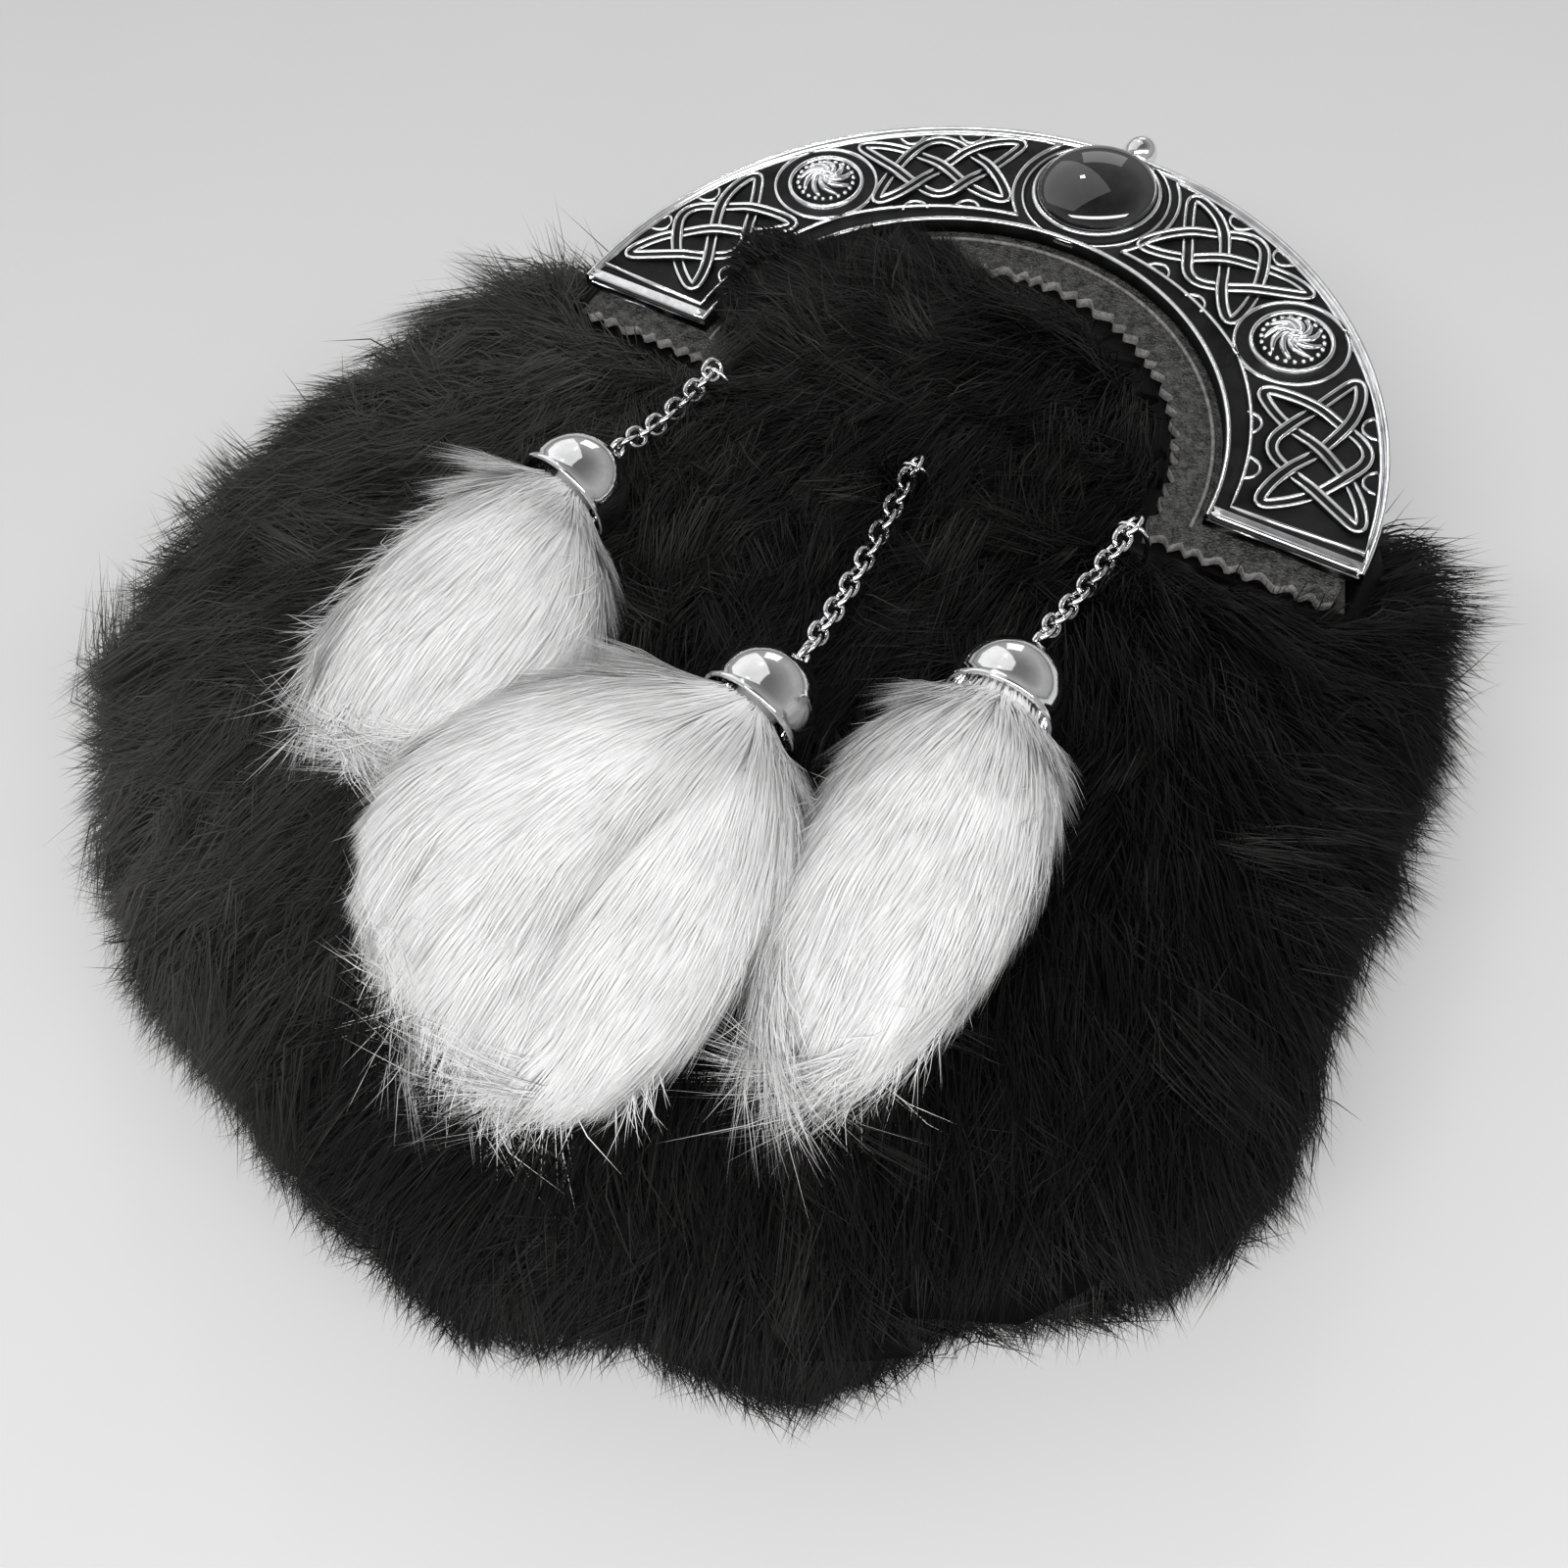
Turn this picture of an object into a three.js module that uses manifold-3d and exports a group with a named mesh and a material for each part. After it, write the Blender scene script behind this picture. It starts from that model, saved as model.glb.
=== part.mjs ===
// A fur sporran pouch lying on its back: a hollow leather bag with a black fur front,
// a half-ring metal cantle with a stone, and three white fur tassels on chains.
// Millimetres. +Z is up, out of the fur front; +Y points to the cantle; +X to the viewer's right.
// The origin is on the underside of the flat leather back, and the floor is z = 0.

import * as THREE from 'three';
import { mergeVertices } from 'three/addons/utils/BufferGeometryUtils.js';
import Module from 'manifold-3d';

const wasm = await Module();
wasm.setup();

// ---------------------------------------------------------------- driving dimensions

const touchGap = 0.3;
const leather = 2;
const beyond = 200; // reach of a cutting body past everything it cuts

const arch = { y: 75, outerR: 75, innerR: 48.4, endY: 0.7 };

const bag = {
  neckR: 70,
  bottomY: -74,
  bendY: 70,
  backSlope: 0.22,
  bellyZ: 25.7,
  neckZ: 32,
  riseFromY: 45,
  riseToY: 71.5,
  rimZ: 34.7,
  mouthY: 97,
};

// Right-hand edge of the bag from the bottom to where the neck arc starts.
const bagEdge = [
  { x: 50, y: -65 },
  { x: 80, y: -37 },
  { x: 90, y: 0 },
  { x: 87, y: 37 },
  { x: 77, y: 66 },
];
const bagNeckBearing = 12;

const fur = {
  centreY: 25,
  floorZ: 0.6,
  hemScale: 0.92,
  widestZ: 17,
  crownZ: 43,
  topPower: 4,
  sidePower: 2.5,
  around: 64,
  tuckedUnder: 6,
  hemRings: 2,
  topRings: 8,
};

// How far the fur's outer form reaches from its centre, by bearing in degrees.
const furReach = [
  { bearing: -180, reach: 114 },
  { bearing: -165, reach: 117 },
  { bearing: -153, reach: 122 },
  { bearing: -140, reach: 118 },
  { bearing: -126, reach: 115 },
  { bearing: -112, reach: 111 },
  { bearing: -97, reach: 110 },
  { bearing: -85, reach: 112 },
  { bearing: -74, reach: 106 },
  { bearing: -62, reach: 112 },
  { bearing: -50, reach: 105 },
  { bearing: -38, reach: 106 },
  { bearing: -26, reach: 110 },
  { bearing: -14, reach: 104 },
  { bearing: 0, reach: 98 },
  { bearing: 14, reach: 101 },
  { bearing: 28, reach: 107 },
  { bearing: 40, reach: 111 },
  { bearing: 49, reach: 104 },
  { bearing: 65, reach: 106 },
  { bearing: 90, reach: 114 },
  { bearing: 115, reach: 107 },
  { bearing: 133, reach: 103 },
  { bearing: 143, reach: 108 },
  { bearing: 155, reach: 110 },
  { bearing: 168, reach: 109 },
  { bearing: 180, reach: 114 },
];

const mountLeather = { bottomZ: 35, outerR: 72.5, innerR: 40, endY: -5.2, toothPitch: 3.4, toothDepth: 1.3 };

const plate = {
  backZ: 37.3,
  faceZ: 39,
  rimZ: 40.2,
  outerRim: 1.8,
  innerRim: 1.4,
  innerLineR: 51.4,
  lineWidth: 0.8,
  endBar: 2.4,
  arcSteps: 40,
};
const boss = { ringR: 63.5, bearing: 42.4, radius: 7.4, height: 2.6 };
const stone = { x: 1, y: 62.2, radius: 11.2, seatZ: 39.3, height: 6.2, bezel: 1.3, bezelZ: 41.6, sides: 30 };
const knob = { x: 3.2, y: 77.6, z: 38.4, radius: 3.3 };

const loop = { x: 25, width: 16, sole: 0.4, startY: 82, sagY: 94, liftY: 118, topY: 124, endY: 133 };

const link = { length: 5, width: 4.2, wire: 0.85, pitch: 3.1, rest: 2.5 };
const staple = { halfSpan: 3.2, wireR: 0.45, legs: 5, linkOffset: 0.4 };
const cap = { radius: 8.4, mouthR: 8.7, skirt: 3.4, wall: 0.9, rest: 9, eyeR: 1.6, eyeWireR: 0.5 };

const slimTassel = [
  { along: -4, half: 5, thick: 5, lift: 9 },
  { along: 0, half: 6.6, thick: 6.6, lift: 9 },
  { along: 3.7, half: 6.4, thick: 6.4, lift: 9 },
  { along: 6.5, half: 10.5, thick: 8.8, lift: 9 },
  { along: 14, half: 13.8, thick: 10, lift: 8.6 },
  { along: 28, half: 16, thick: 10.5, lift: 8.4 },
  { along: 42, half: 15.5, thick: 9.5, lift: 7.6 },
  { along: 53, half: 12.5, thick: 7.6, lift: 6 },
  { along: 60, half: 8.6, thick: 5, lift: 4.2 },
  { along: 64, half: 4.5, thick: 2.6, lift: 3 },
];
const wideTassel = [
  { along: -4, half: 5, thick: 5, lift: 9 },
  { along: 0, half: 6.6, thick: 6.6, lift: 9 },
  { along: 3.7, half: 6.4, thick: 6.4, lift: 9 },
  { along: 7, half: 13, thick: 8.8, lift: 9 },
  { along: 11.5, half: 18, thick: 9.6, lift: 8.8 },
  { along: 24, half: 24, thick: 10.5, lift: 8.4 },
  { along: 40, half: 27.5, thick: 10.5, lift: 8.4 },
  { along: 55, half: 26.5, thick: 9.5, lift: 7.6 },
  { along: 66, half: 20.5, thick: 7.5, lift: 6 },
  { along: 73, half: 11.5, thick: 5, lift: 4.2 },
  { along: 77, half: 5.5, thick: 3, lift: 3 },
];
const tasselSides = 20;

const drops = [
  {
    name: 'left',
    staple: { x: -37.4, y: 62.4 },
    cap: { x: -39.3, y: 25.6 },
    tip: { x: -50, y: -36 },
    bow: 4.5,
    crease: 0,
    sections: slimTassel,
  },
  {
    name: 'middle',
    staple: { x: 4, y: 59 },
    cap: { x: 7.8, y: 5.1 },
    tip: { x: -3, y: -66.5 },
    bow: -5,
    crease: 0.2,
    sections: wideTassel,
  },
  {
    name: 'right',
    staple: { x: 40, y: 64.5 },
    cap: { x: 38, y: 23 },
    tip: { x: 39, y: -42.5 },
    bow: 1,
    crease: 0,
    sections: slimTassel,
  },
];

// ---------------------------------------------------------------- colours

const finish = (color, roughness, metalness) =>
  new THREE.MeshStandardMaterial({ color, roughness, metalness });

const finishes = {
  bagLeather: () => finish(0x1d1b1a, 0.55, 0),
  mountLeather: () => finish(0x3a3836, 0.6, 0),
  blackFur: () => finish(0x0c0b0b, 0.9, 0),
  whiteFur: () => finish(0xece9e4, 0.9, 0),
  chrome: () => finish(0xc9cacc, 0.15, 1),
  stone: () => finish(0x141416, 0.05, 0),
};

// ---------------------------------------------------------------- helpers

const radians = THREE.MathUtils.degToRad;

// Smooth value of one column of a table at a place in its key column.
function tableValue(rows, key, column, at) {
  let i = 0;
  while (i < rows.length - 2 && at > rows[i + 1][key]) i += 1;
  const row = (k) => rows[THREE.MathUtils.clamp(k, 0, rows.length - 1)];
  const slope = (k) => {
    const span = row(k + 1)[key] - row(k - 1)[key];
    return (row(k + 1)[column] - row(k - 1)[column]) / span;
  };
  const span = row(i + 1)[key] - row(i)[key];
  const t = (at - row(i)[key]) / span;
  const start = row(i)[column] * (2 * t ** 3 - 3 * t ** 2 + 1);
  const end = row(i + 1)[column] * (3 * t ** 2 - 2 * t ** 3);
  const leave = slope(i) * span * (t ** 3 - 2 * t ** 2 + t);
  const arrive = slope(i + 1) * span * (t ** 3 - t ** 2);
  return start + end + leave + arrive;
}

// A geometry as a solid that can be joined and cut.
function toSolid(geometry) {
  const bare = geometry.clone();
  bare.deleteAttribute('normal');
  bare.deleteAttribute('uv');
  const merged = mergeVertices(bare, 1e-4);
  const mesh = new wasm.Mesh({
    numProp: 3,
    vertProperties: new Float32Array(merged.attributes.position.array),
    triVerts: new Uint32Array(merged.index.array),
  });
  return new wasm.Manifold(mesh);
}

function toGeometry(solid) {
  const mesh = solid.getMesh();
  const geometry = new THREE.BufferGeometry();
  geometry.setAttribute('position', new THREE.BufferAttribute(mesh.vertProperties, 3));
  geometry.setIndex(new THREE.BufferAttribute(mesh.triVerts, 1));
  geometry.computeVertexNormals();
  return geometry;
}

function piece(name, geometry, material) {
  const mesh = new THREE.Mesh(geometry, material);
  mesh.name = name;
  return mesh;
}

// A flat outline raised from bottomZ to topZ.
function raised(shape, bottomZ, topZ, curveSegments = plate.arcSteps) {
  const geometry = new THREE.ExtrudeGeometry(shape, {
    depth: topZ - bottomZ,
    bevelEnabled: false,
    curveSegments,
  });
  geometry.translate(0, 0, bottomZ);
  return geometry;
}

// A side view (its points are y, z) carried across x from fromX to toX.
function across(points, fromX, toX) {
  const side = new THREE.Shape(points.map(([y, z]) => new THREE.Vector2(y, z)));
  const geometry = new THREE.ExtrudeGeometry(side, { depth: toX - fromX, bevelEnabled: false });
  const turn = new THREE.Matrix4().makeBasis(
    new THREE.Vector3(0, 1, 0),
    new THREE.Vector3(0, 0, 1),
    new THREE.Vector3(1, 0, 0),
  );
  geometry.applyMatrix4(turn);
  geometry.translate(fromX, 0, 0);
  return geometry;
}

// The upper half of a ring about the arch's centre, cut off level at endY.
function halfRing(outerR, innerR, endY) {
  const shape = new THREE.Shape();
  const outerA = Math.asin(endY / outerR);
  const innerA = Math.asin(endY / innerR);
  shape.absarc(0, arch.y, outerR, outerA, Math.PI - outerA, false);
  shape.absarc(0, arch.y, innerR, Math.PI - innerA, innerA, true);
  shape.closePath();
  return shape;
}

// Rings of points joined into one closed body, with a point closing each end.
function lofted(rings) {
  const count = rings[0].length;
  const centre = (ring) => ring.reduce((sum, p) => sum.add(p), new THREE.Vector3()).divideScalar(count);
  const points = [...rings.flat(), centre(rings[0]), centre(rings[rings.length - 1])];
  const first = points.length - 2;
  const last = points.length - 1;
  const lastRing = (rings.length - 1) * count;
  const faces = [];
  for (let k = 0; k < count; k += 1) {
    const next = (k + 1) % count;
    faces.push(first, next, k);
    faces.push(last, lastRing + k, lastRing + next);
    for (let r = 0; r < lastRing; r += count) {
      faces.push(r + k, r + next, r + count + next);
      faces.push(r + k, r + count + next, r + count + k);
    }
  }
  const geometry = new THREE.BufferGeometry();
  geometry.setFromPoints(points);
  geometry.setIndex(faces);
  geometry.computeVertexNormals();
  return geometry;
}

// ---------------------------------------------------------------- fur front

const reachAt = (bearing) => tableValue(furReach, 'bearing', 'reach', THREE.MathUtils.radToDeg(bearing));

// Height of the fur's top where it has come the given share of the way to its edge.
function furHeight(share) {
  const round = (1 - Math.min(share, 1) ** fur.topPower) ** (1 / fur.sidePower);
  return fur.widestZ + (fur.crownZ - fur.widestZ) * round;
}

function furTop(x, y) {
  const bearing = Math.atan2(y - fur.centreY, x);
  return furHeight(Math.hypot(x, y - fur.centreY) / reachAt(bearing));
}

// The fur's outer form, raised by lift to leave room for what lies on it.
function furForm(lift) {
  const ring = (share, z) =>
    Array.from({ length: fur.around }, (_, k) => {
      const bearing = -Math.PI + (2 * Math.PI * k) / fur.around;
      const reach = reachAt(bearing) * share;
      return new THREE.Vector3(Math.cos(bearing) * reach, fur.centreY + Math.sin(bearing) * reach, z + lift);
    });
  const rings = [];
  for (let i = 0; i < fur.hemRings; i += 1) {
    const turn = (Math.PI / 2) * (i / fur.hemRings);
    const share = fur.hemScale + (1 - fur.hemScale) * Math.sin(turn);
    rings.push(ring(share, fur.widestZ - (fur.widestZ - fur.floorZ) * Math.cos(turn)));
  }
  for (let i = 0; i <= fur.topRings; i += 1) {
    const share = Math.cos((Math.PI / 2) * (i / (fur.topRings + 1))) ** (2 / fur.topPower);
    rings.push(ring(share, furHeight(share)));
  }
  return toSolid(lofted(rings));
}

// ---------------------------------------------------------------- bag

function bagOutline(grow) {
  const edge = bagEdge.map(({ x, y }) => new THREE.Vector2(x, y));
  const shape = new THREE.Shape();
  const startA = radians(bagNeckBearing);
  const neck = new THREE.Vector2(Math.cos(startA) * bag.neckR, arch.y + Math.sin(startA) * bag.neckR);
  shape.moveTo(0, bag.bottomY);
  shape.splineThru([...edge, neck]);
  shape.absarc(0, arch.y, bag.neckR, startA, Math.PI - startA, false);
  const mirrored = edge.map((p) => new THREE.Vector2(-p.x, p.y)).reverse();
  shape.splineThru([...mirrored, new THREE.Vector2(0, bag.bottomY)]);
  const points = shape.getPoints(8).filter((p, i, all) => i === 0 || p.distanceTo(all[i - 1]) > 0.01);
  if (points[0].distanceTo(points[points.length - 1]) < 0.01) points.pop();
  const moved = points.map((p, i) => {
    const before = points[(i + points.length - 1) % points.length];
    const after = points[(i + 1) % points.length];
    const along = after.clone().sub(before).normalize();
    return new THREE.Vector2(p.x + along.y * grow, p.y - along.x * grow);
  });
  return new THREE.Shape(moved);
}

const backZ = (y) => Math.max(0, y - bag.bendY) * bag.backSlope;

// Everything between two side-view lines, each a list of y, z points from the bottom up.
const between = (lower, upper) => toSolid(across([...lower, ...[...upper].reverse()], -beyond, beyond));

// The back panel's line, raised by lift.
const backLine = (lift) => [-beyond, bag.bendY, beyond].map((y) => [y, backZ(y) + lift]);

// The line of the front, under the fur, raised by lift.
const frontLine = (lift, neckZ) => [
  [-beyond, bag.bellyZ + lift],
  [bag.riseFromY, bag.bellyZ + lift],
  [bag.riseToY, bag.neckZ + lift],
  [bag.riseToY, neckZ + lift],
  [beyond, neckZ + lift],
];

function backPanel() {
  const outline = toSolid(raised(bagOutline(0), -1, 60));
  return outline.intersect(between(backLine(0), backLine(leather)));
}

function gusset() {
  const outer = toSolid(raised(bagOutline(0), -1, 60));
  const inner = toSolid(raised(bagOutline(-leather), -2, 61));
  const sides = between(backLine(leather + touchGap), frontLine(0, bag.rimZ));
  const mouth = toSolid(new THREE.BoxGeometry(beyond, beyond, beyond));
  const open = mouth.translate([0, bag.mouthY + beyond / 2, 0]);
  return outer.subtract(inner).intersect(sides).subtract(open);
}

function beltLoop(x) {
  const underside = (y) => backZ(y) - touchGap;
  const sole = loop.sole;
  const strap = [
    [loop.startY, sole],
    [loop.startY + 7, underside(loop.startY + 7) - leather],
    [loop.sagY, sole],
    [loop.liftY, sole],
    [loop.topY, underside(loop.topY) - leather],
    [loop.endY, underside(loop.endY) - leather],
    [loop.endY, underside(loop.endY)],
    [loop.topY - 1, underside(loop.topY - 1)],
    [loop.liftY - 1.5, sole + leather],
    [loop.sagY + 1, sole + leather],
    [loop.startY + 7.5, underside(loop.startY + 7.5)],
    [loop.startY, underside(loop.startY)],
  ];
  return across(strap, x - loop.width / 2, x + loop.width / 2);
}

// ---------------------------------------------------------------- cantle and its leather

// Leather half ring whose inner edge and ends are cut to small points.
function pinkedHalfRing() {
  const { outerR, innerR, endY, toothPitch, toothDepth } = mountLeather;
  const outerA = Math.asin(endY / outerR);
  const innerA = Math.asin(endY / innerR);
  const shape = new THREE.Shape();
  shape.absarc(0, arch.y, outerR, outerA, Math.PI - outerA, false);
  const endSpan = outerR * Math.cos(outerA) - innerR * Math.cos(innerA);
  const endTeeth = Math.round(endSpan / toothPitch);
  const arcTeeth = Math.round((innerR * (Math.PI - 2 * innerA)) / toothPitch);
  const toothPoints = (side) =>
    Array.from({ length: 2 * endTeeth - 2 }, (_, i) => {
      const x = outerR * Math.cos(outerA) - (endSpan * (i + 1)) / (2 * endTeeth);
      return new THREE.Vector2(side * x, arch.y + endY + (i % 2 ? 0 : toothDepth));
    });
  toothPoints(-1).forEach((p) => shape.lineTo(p.x, p.y));
  for (let k = 0; k <= 2 * arcTeeth; k += 1) {
    const angle = Math.PI - innerA - ((Math.PI - 2 * innerA) * k) / (2 * arcTeeth);
    const r = innerR + (k % 2 ? toothDepth : 0);
    shape.lineTo(r * Math.cos(angle), arch.y + r * Math.sin(angle));
  }
  toothPoints(1)
    .reverse()
    .forEach((p) => shape.lineTo(p.x, p.y));
  shape.closePath();
  return shape;
}

// A solid of revolution standing on the plate, from a profile of radius, height pairs.
function turned(profile, x, y, z, segments) {
  const points = profile.map(([r, h]) => new THREE.Vector2(r, h));
  const geometry = new THREE.LatheGeometry(points, segments);
  geometry.rotateX(Math.PI / 2);
  geometry.translate(x, y, z);
  return geometry;
}

// Radius, height pairs of a dome, from its edge to its top.
function domeProfile(radius, height, steps) {
  return Array.from({ length: steps + 1 }, (_, i) => {
    const angle = (Math.PI / 2) * (i / steps);
    return [i === steps ? 0 : radius * Math.cos(angle), height * Math.sin(angle)];
  });
}

function bossSolid(side) {
  const angle = radians(boss.bearing);
  const x = side * boss.ringR * Math.cos(angle);
  const y = arch.y + boss.ringR * Math.sin(angle);
  const sunk = 0.6;
  const profile = [
    [0, -sunk],
    [boss.radius, -sunk],
    [boss.radius, 1.2],
    [boss.radius - 0.8, 1.2],
    [boss.radius - 1.2, 0.5],
    ...domeProfile(boss.radius - 2.2, boss.height, 3),
  ];
  return toSolid(turned(profile, x, y, plate.faceZ, 18));
}

function cantle() {
  const { outerR, innerR, endY } = arch;
  const rim = (rOut, rIn) => toSolid(raised(halfRing(rOut, rIn, endY), plate.backZ + 0.5, plate.rimZ));
  const base = toSolid(raised(halfRing(outerR, innerR, endY), plate.backZ, plate.faceZ));
  const whole = toSolid(raised(halfRing(outerR, innerR, endY), plate.backZ + 0.5, plate.rimZ));
  const bars = toSolid(new THREE.BoxGeometry(2 * beyond, plate.endBar, 20));
  const endBars = whole.intersect(bars.translate([0, arch.y + endY + plate.endBar / 2, plate.rimZ]));
  const bezelR = stone.radius + touchGap + stone.bezel;
  const bezel = turned(
    [
      [0, -0.6],
      [bezelR, -0.6],
      [bezelR, stone.bezelZ - plate.faceZ - 0.6],
      [bezelR - 0.6, stone.bezelZ - plate.faceZ],
      [stone.radius + touchGap, stone.bezelZ - plate.faceZ],
      [stone.radius + touchGap, stone.seatZ - touchGap - plate.faceZ],
      [0, stone.seatZ - touchGap - plate.faceZ],
    ],
    stone.x,
    stone.y + arch.y,
    plate.faceZ,
    stone.sides,
  );
  const ball = new THREE.SphereGeometry(knob.radius, 12, 8);
  ball.translate(knob.x, arch.y + knob.y, knob.z);
  const room = turned(
    [
      [0, 0],
      [stone.radius + touchGap, 0],
      [stone.radius + touchGap, 20],
      [0, 20],
    ],
    stone.x,
    stone.y + arch.y,
    stone.seatZ - touchGap,
    stone.sides,
  );
  return base
    .add(rim(outerR, outerR - plate.outerRim))
    .add(rim(innerR + plate.innerRim, innerR))
    .add(rim(plate.innerLineR + plate.lineWidth, plate.innerLineR))
    .add(endBars)
    .add(bossSolid(-1))
    .add(bossSolid(1))
    .add(toSolid(ball))
    .add(toSolid(bezel))
    .subtract(toSolid(room));
}

function cabochon() {
  const profile = [[0, 0], [stone.radius, 0], [stone.radius, 1.2]];
  const dome = domeProfile(stone.radius, stone.height - 1.2, 5).map(([r, h]) => [r, h + 1.2]);
  return turned([...profile, ...dome.slice(1)], stone.x, stone.y + arch.y, stone.seatZ, stone.sides);
}

// ---------------------------------------------------------------- drops: chain, cap, tassel

// A frame at a place, with its own +Y turned to a direction and rolled about it.
function placedAlong(at, direction, roll) {
  const along = direction.clone().normalize();
  const sideways = new THREE.Vector3().crossVectors(along, new THREE.Vector3(0, 0, 1)).normalize();
  const upwards = new THREE.Vector3().crossVectors(sideways, along);
  const basis = new THREE.Matrix4().makeBasis(sideways, along, upwards);
  const rolled = new THREE.Matrix4().makeRotationY(roll);
  return new THREE.Matrix4().makeTranslation(at).multiply(basis).multiply(rolled);
}

function linkGeometry() {
  const radius = (link.width - link.wire) / 2;
  const stretch = (link.length - link.width) / 2;
  const geometry = new THREE.TorusGeometry(radius, link.wire / 2, 6, 10);
  geometry.rotateZ(Math.PI / 2);
  const place = geometry.attributes.position;
  for (let i = 0; i < place.count; i += 1) {
    const y = place.getY(i);
    if (Math.abs(y) > 0.05) place.setY(i, y + Math.sign(y) * stretch);
  }
  return geometry;
}

const headingOf = (drop) => new THREE.Vector3(drop.tip.x - drop.cap.x, drop.tip.y - drop.cap.y, 0);
const onFur = ({ x, y }, lift) => new THREE.Vector3(x, y, furTop(x, y) + lift);

function eyeCentre(drop) {
  const heading = headingOf(drop).normalize();
  return onFur(drop.cap, cap.rest).addScaledVector(heading, -(cap.radius + cap.eyeR - 0.5));
}

function chainLinks(drop) {
  const eye = eyeCentre(drop);
  const start = onFur(drop.staple, link.rest);
  const toEye = eye.clone().sub(start).normalize();
  const inset = link.length / 2 - link.wire / 2 + 0.38;
  start.addScaledVector(toEye, staple.linkOffset);
  const end = eye.clone().addScaledVector(toEye, -inset);
  const middle = start.clone().lerp(end, 0.6);
  middle.z = furTop(middle.x, middle.y) + link.rest;
  const route = new THREE.QuadraticBezierCurve3(start, middle, end);
  const gaps = Math.ceil(route.getLength() / link.pitch);
  return Array.from({ length: gaps + 1 }, (_, i) => {
    const u = i / gaps;
    const roll = (gaps - i) % 2 ? radians(-45) : radians(45);
    const place = placedAlong(route.getPointAt(u), route.getTangentAt(u), roll);
    const geometry = linkGeometry().applyMatrix4(place);
    const number = String(i + 1).padStart(2, '0');
    return piece(`${drop.name}_link_${number}`, geometry, finishes.chrome());
  });
}

function stapleGeometry(drop) {
  const top = onFur(drop.staple, link.rest);
  const { halfSpan, legs } = staple;
  const arc = (angle) =>
    new THREE.Vector3(top.x + halfSpan * Math.cos(angle), top.y, top.z - halfSpan + halfSpan * Math.sin(angle));
  const bend = [0, 45, 90, 135, 180].map((degrees) => arc(radians(degrees)));
  const foot = (point) => new THREE.Vector3(point.x, point.y, point.z - legs);
  const route = new THREE.CurvePath();
  const through = [foot(bend[0]), ...bend, foot(bend[4])];
  route.add(new THREE.LineCurve3(through[0], through[1]));
  route.add(new THREE.CatmullRomCurve3(bend));
  route.add(new THREE.LineCurve3(through[5], through[6]));
  const section = new THREE.Shape();
  section.absarc(0, 0, staple.wireR, 0, 2 * Math.PI, false);
  return new THREE.ExtrudeGeometry(section, { extrudePath: route, steps: 12, curveSegments: 3 });
}

// Room in the fur for a staple's legs.
function stapleRoom(drop) {
  const width = 2 * (staple.halfSpan + staple.wireR + touchGap);
  const depth = 2 * (staple.wireR + touchGap);
  const geometry = new THREE.BoxGeometry(width, depth, 2 * staple.legs + 2);
  const top = onFur(drop.staple, 0);
  geometry.translate(top.x, top.y, top.z - 0.3);
  return toSolid(geometry);
}

function tasselCap(drop) {
  const outer = domeProfile(cap.radius, cap.radius - 0.2, 4);
  const inner = domeProfile(cap.radius - cap.wall, cap.radius - cap.wall - 0.2, 4).reverse();
  const skirt = [[cap.mouthR - cap.wall, -cap.skirt], [cap.mouthR, -cap.skirt]];
  const shell = turned([...inner, ...skirt, ...outer], 0, 0, 0, 16);
  shell.rotateX(-Math.PI / 2);
  const eye = new THREE.TorusGeometry(cap.eyeR, cap.eyeWireR, 6, 10);
  eye.rotateY(radians(45));
  eye.translate(0, cap.radius + cap.eyeR - 0.5, 0);
  const place = placedAlong(onFur(drop.cap, cap.rest), headingOf(drop).negate(), 0);
  const solid = toSolid(shell).add(toSolid(eye));
  return toGeometry(solid).applyMatrix4(place);
}

function tasselForm(drop, grow) {
  const heading = headingOf(drop);
  const length = heading.length();
  heading.normalize();
  const side = new THREE.Vector3(-heading.y, heading.x, 0);
  const last = drop.sections[drop.sections.length - 1].along;
  const rings = drop.sections.map((row) => {
    const share = Math.max(row.along, 0) / last;
    const along = row.along > 0 ? (row.along * (length - 1)) / last : row.along;
    const centre = new THREE.Vector3(drop.cap.x, drop.cap.y, 0).addScaledVector(heading, along);
    centre.addScaledVector(side, drop.bow * Math.sin(Math.PI * share));
    centre.z = furTop(centre.x, centre.y) + row.lift;
    return Array.from({ length: tasselSides }, (_, k) => {
      const angle = (2 * Math.PI * k) / tasselSides;
      const offCrease = Math.abs(Math.cos(angle)) * 3;
      const fold = Math.sin(angle) > 0 ? drop.crease * Math.exp(-(offCrease ** 2)) * Math.min(1, share * 4) : 0;
      const point = centre.clone().addScaledVector(side, (row.half + grow) * Math.cos(angle));
      point.z += (row.thick + grow) * Math.sin(angle) * (1 - fold);
      return point;
    });
  });
  return toSolid(lofted(rings));
}

// ---------------------------------------------------------------- assembly

function furFront() {
  const bagSpace = toSolid(raised(bagOutline(touchGap), -5, 60));
  const hollow = bagSpace.intersect(between(backLine(-20), frontLine(touchGap, bag.neckZ)));
  const underMount = halfRing(arch.outerR + touchGap, mountLeather.innerR - touchGap, mountLeather.endY - touchGap);
  const mountRoom = toSolid(raised(underMount, mountLeather.bottomZ - touchGap, 80));
  const pastNeck = halfRing(beyond, mountLeather.innerR + fur.tuckedUnder, bag.riseToY - touchGap - arch.y);
  const neckRoom = bagSpace.intersect(toSolid(raised(pastNeck, -5, 80)));
  const cuts = [hollow, mountRoom, neckRoom, ...drops.map(stapleRoom)];
  const cut = cuts.reduce((solid, part) => solid.subtract(part), furForm(0));
  const parts = cut.decompose().sort((a, b) => b.volume() - a.volume());
  return parts[0];
}

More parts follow.
